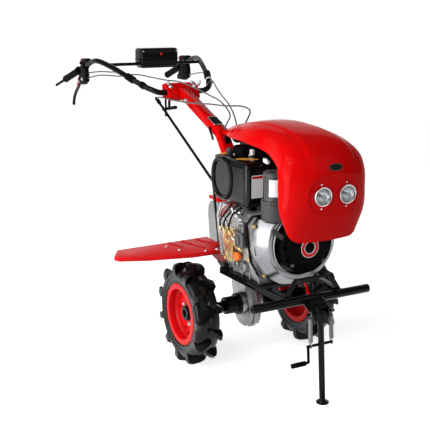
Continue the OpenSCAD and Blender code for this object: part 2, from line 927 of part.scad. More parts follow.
// Control cables, each a short list of points from its lever or clamp to where it ends
cable_runs = [
    [[-765, -199, 1057], [-720, -170, 1062], [-666, -130, 1054], [-620, -75, 1042], [-582, -20, 1034],
        [-492, 30, 1004], [-435, 45, 989], [-347, 45, 977], [-265, 35, 958], [-206, 24, 930], [-216, 13, 896],
        [-228, 6, 870]],
    [[-738, -66, 944], [-672, -88, 962], [-600, -90, 966], [-520, -72, 962], [-402, -48, 963], [-261, -40, 974], [-150, -30, 979],
        [-56, -15, 988], [-11, -5, 983], [-4, 0, 966], [-50, 5, 919]],
    [[-652, 157, 1020], [-600, 146, 1032], [-504, 120, 1007], [-392, 90, 983], [-286, 60, 966], [-203, 40, 932],
        [-150, 28, 882]],
    [[-1108, -269, 1042], [-993, -250, 1057], [-897, -226, 1061], [-820, -209, 1058], [-780, -201, 1058]],
    [[-1104, -271, 1018], [-1006, -250, 1038], [-906, -228, 1045], [-838, -212, 1046], [-790, -204, 1053]],
    [[-1104, 270, 1012], [-999, 252, 1029], [-851, 215, 1046], [-760, 197, 1046]]];
cable_r = 3.2;

// Control cables from the levers down to the engine and gear case
module cables() {
    at_axle()
        color([0.05, 0.05, 0.05])
            for (run = cable_runs)
                swept(curve(run, 4), cable_r, 8, [0, 1, 0]);
}

// Wheel parts are built about the axle with the outer face towards +Y
module tyre() {
    w = tyre_w / 2;
    c = tyre_r - lug_h;
    color(BLACK)
        union() {
            rotate([-90, 0, 0])
                rotate_extrude()
                    polygon([[104, -40], [104, 40], [rim_flange_r + 1.5, 40], [140, 47], [158, w - 5],
                        [c - 7, 36], [c, 16], [c, -16], [c - 7, -36], [158, -w + 5], [140, -47],
                        [rim_flange_r + 1.5, -40]]);
            for (k = [0:lug_count - 1]) for (h = [-1, 1])
                rotate([0, (k + (h > 0 ? 0.5 : 0)) * 360 / lug_count, 0])
                    lug(h);
        }
}

// One lug: a slanting bar on the tread and a block over the shoulder
module lug(h) {
    w = tyre_w / 2;
    c = tyre_r - lug_h;
    intersection() {
        union() {
            translate([0, 0, c - 14])
                linear_extrude(lug_h + 14)
                    polygon([[-lug_t / 2 - 14, -4 * h], [lug_t / 2 - 14, -4 * h], [lug_t / 2 + 12, h * w],
                        [-lug_t / 2 + 12, h * w]]);
            translate([12 - lug_t / 2, h > 0 ? w - 20 : -w, c - 40])
                cube([lug_t, 20, 50]);
        }
        across(0, 0, 0, tyre_r, 200);
    }
}

// Dished steel rim with drop flanges and a pierced disc
module rim() {
    color(RED)
        difference() {
            rotate([-90, 0, 0])
                rotate_extrude()
                    polygon([[104 - touch, 40.3], [rim_flange_r, 40.3], [rim_flange_r, 43.5], [100, 43.5],
                        [100, 16], [92, 9], [60, 6], [30, 6], [30, 1], [60, 1], [94, 3], [100, -4],
                        [100, -43.5], [rim_flange_r, -43.5], [rim_flange_r, -40.3], [104 - touch, -40.3]]);
            for (k = [0:4])
                rotate([0, k * 72 + 36, 0])
                    translate([74, 0, 0])
                        rotate([90, 0, 0])
                            cylinder(r = 7, h = 200, center = true);
        }
}

// Hub flange behind the disc and the drive sleeve that runs into the gear case
module hub() {
    color(BLACK)
        difference() {
            union() {
                across(0, -4, 0, 56, 10);
                across(0, 3, 0, 30 - touch, 14);
                across(0, 12, 0, 18, 6);
                translate([0, -wheel_y + boss_half + 4, 0])
                    rotate([-90, 0, 0])
                        cylinder(r = sleeve_r, h = wheel_y - boss_half - 6);
            }
            across(0, 5, 0, hub_bore_r, 60);
        }
}

module left_wheel() {
    translate([0, wheel_y, tyre_r])
        children();
}

module right_wheel() {
    translate([0, -wheel_y, tyre_r])
        mirror([0, 1, 0])
            children();
}

module tyre_left() {
    at_axle()
        left_wheel()
            tyre();
}

module rim_left() {
    at_axle()
        left_wheel()
            rim();
}

module hub_left() {
    at_axle()
        left_wheel()
            hub();
}

module tyre_right() {
    at_axle()
        right_wheel()
            tyre();
}

module rim_right() {
    at_axle()
        right_wheel()
            rim();
}

module hub_right() {
    at_axle()
        right_wheel()
            hub();
}

gearbox();
clutch_housing();
axle_flanges();
crankcase();
cylinder_head();
fan_shroud();
recoil_starter();
fuel_tank();
fuel_cap();
air_cleaner();
muffler();
injection_pump();
speed_control();
oil_plug();
frame_rails();
front_bumper();
guard_hoop();
stand_bracket();
fenders();
column();
handle_head();
handlebar_right();
handlebar_left();
grips();
crossbar();
control_box();
lever_brackets();
levers();
buttons();
clamp_lever();
hood();
hood_stay();
headlights();
shift_rod();
cables();
tyre_right();
rim_right();
hub_right();
tyre_left();
rim_left();
hub_left();
stand_leg();
stand_pedal();
stand_springs();
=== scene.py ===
import json
import math
import bpy
import numpy as np
from mathutils import Matrix, Vector


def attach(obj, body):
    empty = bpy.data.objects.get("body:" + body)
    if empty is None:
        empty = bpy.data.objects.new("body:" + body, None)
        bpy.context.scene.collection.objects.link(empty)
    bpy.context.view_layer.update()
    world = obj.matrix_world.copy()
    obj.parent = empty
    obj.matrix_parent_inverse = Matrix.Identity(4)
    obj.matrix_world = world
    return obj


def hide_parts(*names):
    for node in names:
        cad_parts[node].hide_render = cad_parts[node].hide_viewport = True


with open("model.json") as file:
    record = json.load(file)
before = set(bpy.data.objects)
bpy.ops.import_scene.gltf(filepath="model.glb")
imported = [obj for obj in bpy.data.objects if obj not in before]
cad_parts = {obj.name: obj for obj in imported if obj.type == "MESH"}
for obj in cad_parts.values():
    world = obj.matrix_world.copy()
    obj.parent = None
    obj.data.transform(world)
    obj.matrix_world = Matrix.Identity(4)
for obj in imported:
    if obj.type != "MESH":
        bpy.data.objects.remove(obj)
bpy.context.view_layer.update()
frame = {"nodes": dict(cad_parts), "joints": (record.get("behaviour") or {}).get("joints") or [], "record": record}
nodes = frame["nodes"]
scene = bpy.context.scene

# Place of the drive axle in the row frame, from the wheel joint
AX = [j for j in frame["joints"] if j["name"] == "wheel_right_spin"][0]["pos_m"][0]

FORE, LEFT, UP = Vector((1, 0, 0)), Vector((0, 1, 0)), Vector((0, 0, 1))
RIGHT = Vector((0, -1, 0))


def P(x, y, z):
    """A point in metres from millimetres measured at the axle, as the part's source gives them."""
    return Vector((x / 1000 + AX, y / 1000, z / 1000))


# Driving sizes in millimetres, as in the part's source
TYRE_R, TYRE_W, LUG_H, LUG_COUNT, WHEEL_Y = 200, 105, 24, 11, 262.5
NOSE_X, LAMP_Y, LAMP_Z, LAMP_R = 569, 49, 763, 32
CRANK_Z, RECOIL_FACE_X, SHROUD_X, SHROUD_LIP_X, SHROUD_LIP_R = 551, 429, 300, 382, 119.5
TANK_X, TANK_L, TANK_W, TANK_Z, TANK_H = -25, 258, 300, 656, 163
TANK_TOP = TANK_Z + TANK_H
CAN_X, CAN_Y, CAN_Z, CAN_R = 345, -99, 640, 45
# Outline of the fan shroud's flange seen from the front: y, z
SHROUD_FLANK = [(-129, 414.5), (129, 414.5), (164, 479.5), (183, 618),
                (159, 647.5), (-159, 647.5), (-183, 618), (-164, 479.5)]
PIVOT_X, PIVOT_Z, FOOT_LEAD = 508, 330, 32
GRIP_FOOT, GRIP_TIP = Vector((-1105, 266.9, 1080.8)), Vector((-1400, 285, 990))
GRIP_DIR = (GRIP_TIP - GRIP_FOOT).normalized()
GRIP_LEN = (GRIP_TIP - GRIP_FOOT).length
BOX_X, BOX_Z, BOX_DEEP, BOX_WIDE, BOX_TALL = -890, 1123.6, 84, 190, 88
FENDER_TOP = 456


# Camera at the photograph's angle
CAM = (2.721, -1.575, 1.386)
YAW, PITCH, ROLL = 2.65969, -0.2563, 0.00366
FOCAL_PX, FRAME_PX, SENSOR = 821.84, 430, 36


def make_camera():
    data = bpy.data.cameras.new("camera")
    cam = bpy.data.objects.new("camera", data)
    scene.collection.objects.link(cam)
    fwd = Vector((math.cos(PITCH) * math.cos(YAW), math.cos(PITCH) * math.sin(YAW), math.sin(PITCH)))
    right = fwd.cross(UP).normalized()
    up = right.cross(fwd)
    r2 = right * math.cos(ROLL) + up * math.sin(ROLL)
    u2 = up * math.cos(ROLL) - right * math.sin(ROLL)
    m = Matrix((r2, u2, -fwd)).transposed().to_4x4()
    m.translation = Vector((CAM[0] + AX, CAM[1], CAM[2]))
    cam.matrix_world = m
    data.sensor_width = SENSOR
    data.lens = SENSOR * FOCAL_PX / FRAME_PX
    data.clip_end = 100
    scene.camera = cam


make_camera()


# Materials
CLOUD_DETAIL, GRAIN_DETAIL, CORNER_SAMPLES = 4, 3, 6
CLOUD_FROM, CLOUD_TO, LEAST_ROUGH, BUMP_DEPTH = 0.3, 0.7, 0.02, 0.001


def material(name, color, rough, metal=0.0, coat=0.0, coat_rough=0.08, noise=60.0, vary=0.08, bump=0.05,
             bump_scale=None, rough_vary=0.08, spec=0.5, dust=0.0, glass=0.0, painted_corner_shade=0.0):
    """Procedural surface: colour cloud, uneven roughness, fine bump, optional dust and painted shade that darkens
    the colour in corners and crevices.
    """
    mat = bpy.data.materials.new(name)
    mat.use_nodes = True
    nt = mat.node_tree
    b = nt.nodes["Principled BSDF"]
    for key, value in (("Metallic", metal), ("Coat Weight", coat), ("Coat Roughness", coat_rough),
                       ("Specular IOR Level", spec), ("Transmission Weight", glass)):
        b.inputs[key].default_value = value
    tc = nt.nodes.new("ShaderNodeTexCoord")
    cloud = nt.nodes.new("ShaderNodeTexNoise")
    cloud.inputs["Scale"].default_value = noise / 6
    cloud.inputs["Detail"].default_value = CLOUD_DETAIL
    nt.links.new(tc.outputs["Object"], cloud.inputs["Vector"])
    ramp = nt.nodes.new("ShaderNodeValToRGB")
    c = Vector(color)
    dark, pale = ramp.color_ramp.elements
    dark.position = CLOUD_FROM
    pale.position = CLOUD_TO
    dark.color = (*(c * (1 - vary)), 1)
    pale.color = (*[min(1, v * (1 + vary) + dust) for v in c], 1)
    nt.links.new(cloud.outputs["Fac"], ramp.inputs["Fac"])
    shade = ramp.outputs["Color"]
    # Painted shade: ambient occlusion darkens the base colour in corners and crevices, where shade falls.
    if painted_corner_shade:
        corner = nt.nodes.new("ShaderNodeAmbientOcclusion")
        corner.samples = CORNER_SAMPLES
        corner.inputs["Distance"].default_value = painted_corner_shade
        nt.links.new(shade, corner.inputs["Color"])
        shade = corner.outputs["Color"]
    nt.links.new(shade, b.inputs["Base Color"])
    span = nt.nodes.new("ShaderNodeMapRange")
    span.inputs["To Min"].default_value = max(LEAST_ROUGH, rough - rough_vary)
    span.inputs["To Max"].default_value = min(1, rough + rough_vary)
    nt.links.new(cloud.outputs["Fac"], span.inputs["Value"])
    nt.links.new(span.outputs["Result"], b.inputs["Roughness"])
    grain = nt.nodes.new("ShaderNodeTexNoise")
    grain.inputs["Scale"].default_value = bump_scale or noise * 4
    grain.inputs["Detail"].default_value = GRAIN_DETAIL
    nt.links.new(tc.outputs["Object"], grain.inputs["Vector"])
    bp = nt.nodes.new("ShaderNodeBump")
    bp.inputs["Strength"].default_value = bump
    bp.inputs["Distance"].default_value = BUMP_DEPTH
    nt.links.new(grain.outputs["Fac"], bp.inputs["Height"])
    nt.links.new(bp.outputs["Normal"], b.inputs["Normal"])
    return mat


# In finishes that end with it, the last value is how far the painted shade in corners and crevices reaches, in
# metres.
SURFACES = {
    "cast_case": dict(color=(0.27, 0.275, 0.28), rough=0.36, metal=0.7, noise=90, vary=0.2, bump=0.35,
                      bump_scale=700, painted_corner_shade=0.02),
    # Brighter cast finish: on the crankcase partly its own lighter metal and partly painted light making up for
    # shade on its flank; on the shroud's lip a painted highlight.
    "cast_bright": dict(color=(0.50, 0.505, 0.50), rough=0.34, metal=0.6, noise=120, vary=0.2, bump=0.4,
                        bump_scale=700, painted_corner_shade=0.015),
    "cast_satin": dict(color=(0.25, 0.255, 0.265), rough=0.24, metal=0.95, noise=90, vary=0.15, bump=0.2,
                       bump_scale=700, painted_corner_shade=0.02),
    "black_paint": dict(color=(0.003, 0.003, 0.003), rough=0.07, noise=50, bump=0.02, spec=0.10,
                        rough_vary=0.02),
    "red_paint": dict(color=(0.56, 0.003, 0.005), rough=0.35, noise=40, vary=0.05, bump=0.06, spec=0.10,
                      painted_corner_shade=0.04),
    "red_hood": dict(color=(0.50, 0.0014, 0.0018), rough=0.10, coat=0.06, coat_rough=0.03, noise=30,
                     vary=0.03, bump=0.015, spec=0.008, rough_vary=0.03),
    "black_gloss": dict(color=(0.004, 0.004, 0.004), rough=0.10, coat=0.15, coat_rough=0.03, noise=30,
                        bump=0.02, spec=0.15),
    "black_plastic": dict(color=(0.003, 0.003, 0.003), rough=0.38, noise=80, bump=0.15, bump_scale=900,
                          spec=0.015),
    "rubber": dict(color=(0.003, 0.003, 0.003), rough=0.45, noise=80, bump=0.2, bump_scale=600, spec=0.02),
    "tyre": dict(color=(0.004, 0.004, 0.004), rough=0.22, noise=50, vary=0.2, bump=0.2, bump_scale=500,
                 dust=0.001, spec=0.17, painted_corner_shade=0.03),
    "dark_steel": dict(color=(0.10, 0.10, 0.10), rough=0.45, metal=0.7, noise=90, bump=0.25, bump_scale=500,
                       painted_corner_shade=0.03),
    "zinc": dict(color=(0.72, 0.54, 0.24), rough=0.32, metal=0.85, noise=60, vary=0.2, bump=0.1,
                 painted_corner_shade=0.012),
    "orange_plastic": dict(color=(0.80, 0.14, 0.01), rough=0.4, noise=60, bump=0.1, spec=0.3),
    "red_plastic": dict(color=(0.58, 0.006, 0.010), rough=0.35, noise=60, bump=0.08, spec=0.2),
    "lamp": dict(color=(0.50, 0.50, 0.49), rough=0.30, metal=0.85, noise=90, vary=0.25, bump=0.05),
    "chrome": dict(color=(0.58, 0.58, 0.58), rough=0.16, metal=1.0, noise=60, bump=0.02),
    "bright_steel": dict(color=(0.62, 0.62, 0.62), rough=0.28, metal=1.0, noise=80, bump=0.08),
    "glass": dict(color=(0.95, 0.97, 1.0), rough=0.04, noise=40, vary=0.02, bump=0.03, bump_scale=160,
                  rough_vary=0.02, glass=1.0),
    "paper": dict(color=(0.76, 0.76, 0.75), rough=0.5, noise=50, vary=0.04, bump=0.03, spec=0.3),
    "amber": dict(color=(0.72, 0.34, 0.03), rough=0.45, noise=50, vary=0.1, bump=0.03, spec=0.3),
    "grey_plastic": dict(color=(0.045, 0.045, 0.045), rough=0.45, noise=70, bump=0.12, bump_scale=700,
                         spec=0.3),
    "cable_sheath": dict(color=(0.05, 0.05, 0.052), rough=0.3, noise=60, bump=0.08, spec=0.6),
    # Dark red: the engine wires' own colour; on the fender gussets it paints shade on the red paint.
    "dark_red": dict(color=(0.30, 0.012, 0.012), rough=0.45, noise=60, bump=0.08, spec=0.3),
}
MAT = {name: material(name, **surface) for name, surface in SURFACES.items()}


# Mesh helpers
SHARP_ANGLE, BEVEL_ANGLE, CAD_BEVEL_ANGLE, BEVEL_SEGMENTS, FINE_BEVEL = 35, 40, 30, 2, 0.0006
# Bolt in shares of its width across corners: rows of height and radius
WASHER = ((0, 0.66), (0.1, 0.66), (0.12, 0.6))
HEAD = ((0, 0.5), (0.34, 0.5), (0.4, 0.42))
STUD = ((0, 0.24), (0.1, 0.22))
WASHER_T, HEAD_T = 0.1, 0.4


def smooth(mesh, angle=SHARP_ANGLE):
    mesh.shade_smooth()
    mesh.set_sharp_from_angle(angle=math.radians(angle))


def add(name, verts, faces, mat, body="chassis", slot=None, replaces=(), angle=SHARP_ANGLE, bevel=0.0):
    """New piece from vertices in metres; it rides on a body and may stand for CAD nodes."""
    mesh = bpy.data.meshes.new(name)
    mesh.from_pydata([tuple(v) for v in verts], [], [tuple(f) for f in faces])
    mesh.validate()
    mesh.update()
    obj = bpy.data.objects.new(name, mesh)
    scene.collection.objects.link(obj)
    mesh.materials.append(MAT[mat])
    smooth(mesh, angle)
    if bevel:
        soften(obj, bevel)
    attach(obj, body)
    if replaces:
        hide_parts(*replaces)
    return obj


def soften(obj, width, angle=BEVEL_ANGLE):
    m = obj.modifiers.new("bevel", "BEVEL")
    m.width = width
    m.segments = BEVEL_SEGMENTS
    m.limit_method = "ANGLE"
    m.angle_limit = math.radians(angle)
    m.harden_normals = False


def around(n):
    """Angles of n even steps round a full turn."""
    return [2 * math.pi * k / n for k in range(n)]


def spoke(a):
    """Direction in a wheel's plane at an angle from straight up."""
    return Vector((math.sin(a), 0, math.cos(a)))


def ring_faces(m, n):
    """Quads between m rows of n points, closed all round."""
    return [(i * n + k, i * n + (k + 1) % n, (i + 1) * n + (k + 1) % n, (i + 1) * n + k)
            for i in range(m - 1) for k in range(n)]


def end_faces(m, n):
    """Faces over the first and the last of m rows of n points."""
    return [tuple(range(n - 1, -1, -1)), tuple((m - 1) * n + k for k in range(n))]


class Shape:
    """Collects simple forms into one mesh."""

    def __init__(self):
        self.v, self.f = [], []

    def put(self, verts, faces):
        k = len(self.v)
        self.v += [Vector(p) for p in verts]
        self.f += [[i + k for i in face] for face in faces]

    def turned(self, base, axis, profile, n, close=False):
        """Revolve of (distance along axis, radius) rows, in metres, about an axis from base."""
        z = Vector(axis).normalized()
        x = z.orthogonal().normalized()
        y = z.cross(x)
        verts = [Vector(base) + z * d + (x * math.cos(a) + y * math.sin(a)) * r
                 for d, r in profile for a in around(n)]
        m = len(profile)
        if close:
            ends = [((m - 1) * n + k, (m - 1) * n + (k + 1) % n, (k + 1) % n, k) for k in range(n)]
        else:
            ends = end_faces(m, n)
        self.put(verts, ring_faces(m, n) + ends)

    def tube(self, points, r, n, caps=True):
        """Round tube along points, in metres, with frames carried along the path."""
        pts = [Vector(p) for p in points]
        rings, u = [], None
        for i, p in enumerate(pts):
            t = (pts[min(i + 1, len(pts) - 1)] - pts[max(i - 1, 0)]).normalized()
            u = t.orthogonal().normalized() if u is None else (u - t * u.dot(t)).normalized()
            w = t.cross(u)
            rings += [p + (u * math.cos(a) + w * math.sin(a)) * r for a in around(n)]
        m = len(pts)
        self.put(rings, ring_faces(m, n) + (end_faces(m, n) if caps else []))

    def loop(self, points, r, n):
        """Round tube along points, in metres, back to the first one."""
        self.tube(points + points[:1], r, n, caps=False)

    def plate(self, outline, origin, u, v, thick):
        """Flat plate: outline points (a, b) along u and v from origin, thick along u x v."""
        u, v = Vector(u).normalized(), Vector(v).normalized()
        w = u.cross(v)
        low = [Vector(origin) + u * a + v * b for a, b in outline]
        high = [p + w * thick for p in low]
        n = len(outline)
        self.put(low + high, end_faces(2, n) + ring_faces(2, n))

    def bolt(self, pos, axis, size):
        """Hexagon head of a given width across corners on a washer, with the stud's end."""
        z = Vector(axis).normalized()
        base = Vector(pos) + z * size * WASHER_T
        tip = base + z * size * HEAD_T
        for foot, rows, n in ((Vector(pos), WASHER, 20), (base, HEAD, 6), (tip, STUD, 14)):
            self.turned(foot, z, [(size * d, size * r) for d, r in rows], n)

    def done(self, name, mat, **kw):
        return add(name, self.v, self.f, mat, **kw)


def shapes(count):
    return [Shape() for _ in range(count)]


def rounded(w, h, r, n=6):
    """Outline of a rounded rectangle centred on the origin."""
    out = []
    for c, (sx, sy) in enumerate(((1, 1), (-1, 1), (-1, -1), (1, -1))):
        for k in range(n + 1):
            a = math.pi / 2 * (c + k / n)
            out.append((sx * (w / 2 - r) + r * math.cos(a), sy * (h / 2 - r) + r * math.sin(a)))
    return out


def oval(w, h, n=48, power=2.0):
    """Outline of an oval centred on the origin; a higher power makes it squarer."""
    e = 2 / power
    return [(w / 2 * math.copysign(abs(math.cos(a)) ** e, math.cos(a)),
             h / 2 * math.copysign(abs(math.sin(a)) ** e, math.sin(a))) for a in around(n)]


def catmull(rows, n):
    """Smooth curve through rows of numbers, with n steps from each to the next."""
    rows = [np.array(r, float) for r in rows]
    out = []
    for i in range(len(rows) - 1):
        a, b, c, d = rows[max(i - 1, 0)], rows[i], rows[i + 1], rows[min(i + 2, len(rows) - 1)]
        for k in range(n):
            t = k / n
            out.append(0.5 * (2 * b + (c - a) * t + (2 * a - 5 * b + 4 * c - d) * t ** 2
                              + (3 * b - a - 3 * c + d) * t ** 3))
    return out + [rows[-1]]


def path(points, n=6):
    """Smooth path in metres through points given in millimetres at the axle."""
    return [P(*p) for p in catmull(points, n)]


# CAD nodes: finish by material slot, with softened edges
WELD_GAP = 0.00001
slot_of = {s["node"]: s["material_slot"] for s in frame["record"]["subparts"]}
# The crankcase takes the brighter cast finish, partly for its lighter metal and partly as painted light against
# the shade on its flank.
FINISH = {"cables": "cable_sheath", "air_cleaner": "grey_plastic", "crankcase": "cast_bright",
          "gearbox": "cast_satin", "fan_shroud": "cast_satin", "column": "red_hood",
          "handle_head": "red_hood"}
SOFT_EDGE = {"cast_case": 0.0025, "black_paint": 0.001, "red_paint": 0.001, "black_plastic": 0.0015,
             "black_gloss": 0.004, "zinc": 0.0006, "dark_steel": 0.002}
FACETED = {"hood", "handlebar_right", "handlebar_left", "cables"}
for name, obj in nodes.items():
    obj.data.materials.clear()
    obj.data.materials.append(MAT[FINISH.get(name, slot_of[name])])
    weld = obj.modifiers.new("weld", "WELD")
    weld.merge_threshold = WELD_GAP
    smooth(obj.data)
    if slot_of[name] in SOFT_EDGE and name not in FACETED:
        soften(obj, SOFT_EDGE[slot_of[name]], CAD_BEVEL_ANGLE)


# Hood: fine sheet with a raised middle panel, a sunk oval lamp panel and a rolled edge
# Rows along the mid-line: x, z, half width, drop of the edge, squareness
HOOD_ROWS = [(-200, 870, 20, 5, 2.2), (-109, 900, 56, 26, 2.2), (22, 933, 105, 48, 2.2),
             (182, 962, 130, 70, 2.5), (331, 962, 130, 80, 2.8), (442, 946, 147, 88, 2.8),
             (521, 912, 163, 92, 2.5), (563, 849, 168, 90, 2.2), (568, 769, 170, 86, 2.2),
             (554, 683, 167, 65, 2.2), (525, 598, 132, 28, 2.2)]
HOOD_T, HOOD_CORNER, HOOD_BEAD = 4, 32, 0.9
HOOD_STEPS, HOOD_COLS, HOOD_SAMPLES = 10, 96, 241
# Raised panel: height, its edge in shares of the half width, and where it fades out at front and tail
PANEL_RISE, PANEL_EDGE = 3.0, (0.48, 0.57)
FRONT_FADE_Z, FRONT_FADE_X, TAIL_FADE_X = (880, 800), 300, (-190, -60)
# Sunk lamp panel: size, depth, squareness and edge; a lamp's opening; how far back the front reaches
LAMP_PANEL_W, LAMP_PANEL_H, LAMP_PANEL_SINK, LAMP_PANEL_POWER = 190, 128, 5.0, 2.6
LAMP_PANEL_EDGE, LAMP_PANEL_X, LAMP_OPENING_R = (0.88, 1.08), 480, LAMP_R - 2
FRONT_X = 450


def step(a, b, v):
    """Smooth step from 0 at a to 1 at b."""
    t = np.clip((v - a) / (b - a), 0, 1)
    return t * t * (3 - 2 * t)


def lengths(points):
    """Distances between neighbouring points."""
    return np.linalg.norm(np.diff(points, axis=0), axis=1)


def hood_row(rows, i):
    """Points of row i across the hood, from its right edge to its left one."""
    r, a, b = rows[i], rows[max(i - 1, 0)], rows[min(i + 1, len(rows) - 1)]
    d = (b[:2] - a[:2]) / np.linalg.norm(b[:2] - a[:2])
    q = np.linspace(-math.pi / 2, math.pi / 2, HOOD_SAMPLES)
    e = 2 / r[4]
    y = r[2] * np.sign(q) * np.abs(np.sin(q)) ** e
    g = r[3] * (1 - np.clip(np.cos(q), 0, 1) ** e)
    return np.stack([r[0] + d[1] * g, y, r[1] - d[0] * g], -1)


def hood_grid(rows):
    """Evenly spaced points on the hood, row by row, with the lower corners rounded off."""
    left = np.concatenate([np.cumsum(lengths(np.array([r[:2] for r in rows]))[::-1])[::-1], [0]])
    grid = np.zeros((len(rows), HOOD_COLS + 1, 3))
    for i in range(len(rows)):
        pts = hood_row(rows, i)
        s = np.concatenate([[0], np.cumsum(lengths(pts))])
        cut = HOOD_CORNER - math.sqrt(HOOD_CORNER ** 2 - max(0, HOOD_CORNER - left[i]) ** 2)
        at = np.linspace(cut, s[-1] - cut, HOOD_COLS + 1)
        for k in range(3):
            grid[i, :, k] = np.interp(at, s, pts[:, k])
    return grid


def make_hood():
    rows = catmull(HOOD_ROWS, HOOD_STEPS)
    grid = hood_grid(rows)
    x, y, z = grid[:, :, 0], np.abs(grid[:, :, 1]), grid[:, :, 2]
    nor = np.cross(np.gradient(grid, axis=1), np.gradient(grid, axis=0))
    nor /= np.linalg.norm(nor, axis=2, keepdims=True)
    nor *= np.sign((nor * np.array([0.5, 0, 1])).sum(2).mean())
    share = y / np.array([r[2] for r in rows])[:, None]
    front = step(*FRONT_FADE_Z, z) * (x > FRONT_FADE_X)
    rise = PANEL_RISE * (1 - step(*PANEL_EDGE, share)) * (1 - front) * step(*TAIL_FADE_X, x)
    aside = (y / (LAMP_PANEL_W / 2)) ** LAMP_PANEL_POWER
    above = (np.abs(z - LAMP_Z) / (LAMP_PANEL_H / 2)) ** LAMP_PANEL_POWER
    sink = LAMP_PANEL_SINK * (1 - step(*LAMP_PANEL_EDGE, aside + above)) * (x > LAMP_PANEL_X)
    outer = grid + nor * (rise - sink)[:, :, None]
    inner = grid - nor * (HOOD_T + sink)[:, :, None]
    m, n = outer.shape[0], outer.shape[1]
    verts = [P(*p) for p in outer.reshape(-1, 3)] + [P(*p) for p in inner.reshape(-1, 3)]
    k = m * n
    middle = (grid[:-1, :-1] + grid[1:, 1:]) / 2
    from_lamp = np.hypot(np.abs(middle[:, :, 1]) - LAMP_Y, middle[:, :, 2] - LAMP_Z)
    hole = (middle[:, :, 0] > LAMP_PANEL_X) & (from_lamp < LAMP_OPENING_R)
    faces = [(i * n + j, i * n + j + 1, (i + 1) * n + j + 1, (i + 1) * n + j)
             for i in range(m - 1) for j in range(n - 1) if not hole[i, j]]
    faces += [(k + a, k + d, k + c, k + b) for a, b, c, d in faces]
    rim = list(range(n)) + [i * n + n - 1 for i in range(1, m)]
    rim += [(m - 1) * n + j for j in range(n - 2, -1, -1)] + [i * n for i in range(m - 2, 0, -1)]
    faces += [(a, k + a, k + b, b) for a, b in zip(rim, rim[1:] + rim[:1])]
    add("hood_sheet", verts, faces, "red_hood", slot="red_hood", replaces=["hood"], angle=50)
    edge = Shape()
    edge.loop([(verts[i] + verts[k + i]) / 2 for i in rim], (HOOD_T / 2 + HOOD_BEAD) / 1000, 8)
    edge.done("hood_rolled_edge", "red_hood", slot="red_hood")
    return outer, nor


hood_outer, hood_normal = make_hood()


def on_hood(y, z):
    """Point and normal of the hood's front at a place seen from the front."""
    d = (hood_outer[:, :, 1] - y) ** 2 + (hood_outer[:, :, 2] - z) ** 2
    d[hood_outer[:, :, 0] < FRONT_X] = np.inf
    i, j = np.unravel_index(np.argmin(d), d.shape)
    return Vector(hood_outer[i, j]), Vector(hood_normal[i, j])


# Headlights: bright bowl, bulb and chrome ring behind a clear lens, each with two screws in the hood
LAMP_DEPTH = 26
# Screws: height above the lamp's middle, shift to the left
LAMP_SCREWS = ((41, -2), (-45, 4))


def make_lamps():
    bowl, ring, lens, bulb, screws = shapes(5)
    r = LAMP_R / 1000
    bowl_rows = [(0.004 + 0.020 * t * t, 0.004 + (r - 0.0078) * t) for t in (k / 10 for k in range(11))]
    bowl_rows += [(0.0242, r - 0.001), (0.0, r - 0.001)]
    ring_rows = [(0.008, r + 0.0015), (0.025, r + 0.0015), (0.0275, r + 0.0005), (0.0280, r - 0.001),
                 (0.0270, r - 0.003), (0.008, r - 0.004)]
    lens_rows = [(0.0245, r - 0.0036), (0.0258, r - 0.0036), (0.0275, r * 0.5), (0.0280, r * 0.1),
                 (0.0266, r * 0.1), (0.026, r * 0.5)]
    bulb_rows = [(0.004, 0.0045), (0.016, 0.0045), (0.019, 0.003), (0.020, 0.001)]
    screw_rows = [(-0.002, 0.0032), (0.0012, 0.0032), (0.0022, 0.0020)]
    for side in (-1, 1):
        base = P(NOSE_X - LAMP_DEPTH, side * LAMP_Y, LAMP_Z)
        bowl.turned(base, FORE, bowl_rows, 40)
        ring.turned(base, FORE, ring_rows, 56, close=True)
        lens.turned(base, FORE, lens_rows, 40)
        bulb.turned(base, FORE, bulb_rows, 16)
        for height, shift in LAMP_SCREWS:
            p, n = on_hood(side * LAMP_Y + shift, LAMP_Z + height)
            screws.turned(P(*p), n, screw_rows, 14)
    bowl.done("lamp_bowls", "lamp", slot="lamp", replaces=["headlights"])
    ring.done("lamp_rings", "chrome")
    lens.done("lamp_lenses", "glass", slot="lamp")
    bulb.done("lamp_bulbs", "black_plastic")
    screws.done("lamp_screws", "bright_steel")


make_lamps()


# Blank oval plate on the nose
PLATE_Z, PLATE_T, BORDER_R = 858, 0.0022, 0.0008
PLATE_SIZE, BORDER_SIZE, BORDER_LIFT = (0.050, 0.021), (0.0525, 0.0235), 0.0012


def make_nose_plate():
    face, border = shapes(2)
    p, n = on_hood(0, PLATE_Z)
    up = n.cross(LEFT).normalized()
    base = P(*p)
    face.plate(oval(*PLATE_SIZE), base, LEFT, up, PLATE_T)
    border.loop([base + LEFT * a + up * b + n * BORDER_LIFT for a, b in oval(*BORDER_SIZE)], BORDER_R, 8)
    face.done("nose_plate", "black_paint", bevel=FINE_BEVEL)
    border.done("nose_plate_border", "dark_steel")


make_nose_plate()


# Tyres: round carcass with raised rings and hooked lugs. Profiles: distance from the middle, radius
TREAD_R, TOP_R, HALF_W = (TYRE_R - LUG_H) / 1000, TYRE_R / 1000, TYRE_W / 2000
CARCASS = [(-0.040, 0.104), (-0.0405, 0.118), (-0.0415, 0.1235), (-0.0455, 0.126), (-0.0475, 0.134),
           (-0.0462, 0.1365), (-0.0485, 0.140), (-0.0500, 0.149), (-0.0492, 0.158), (-0.046, 0.166),
           (-0.038, 0.1715), (-0.024, 0.1748), (0, TREAD_R)]
LUG = [(-0.006, 0.168), (-0.005, 0.190), (0.000, 0.1965), (0.012, TOP_R), (0.034, TOP_R), (0.046, 0.1955),
       (HALF_W, 0.183), (HALF_W, 0.166), (0.0508, 0.150), (0.0475, 0.143), (0.040, 0.150), (0.020, 0.160)]
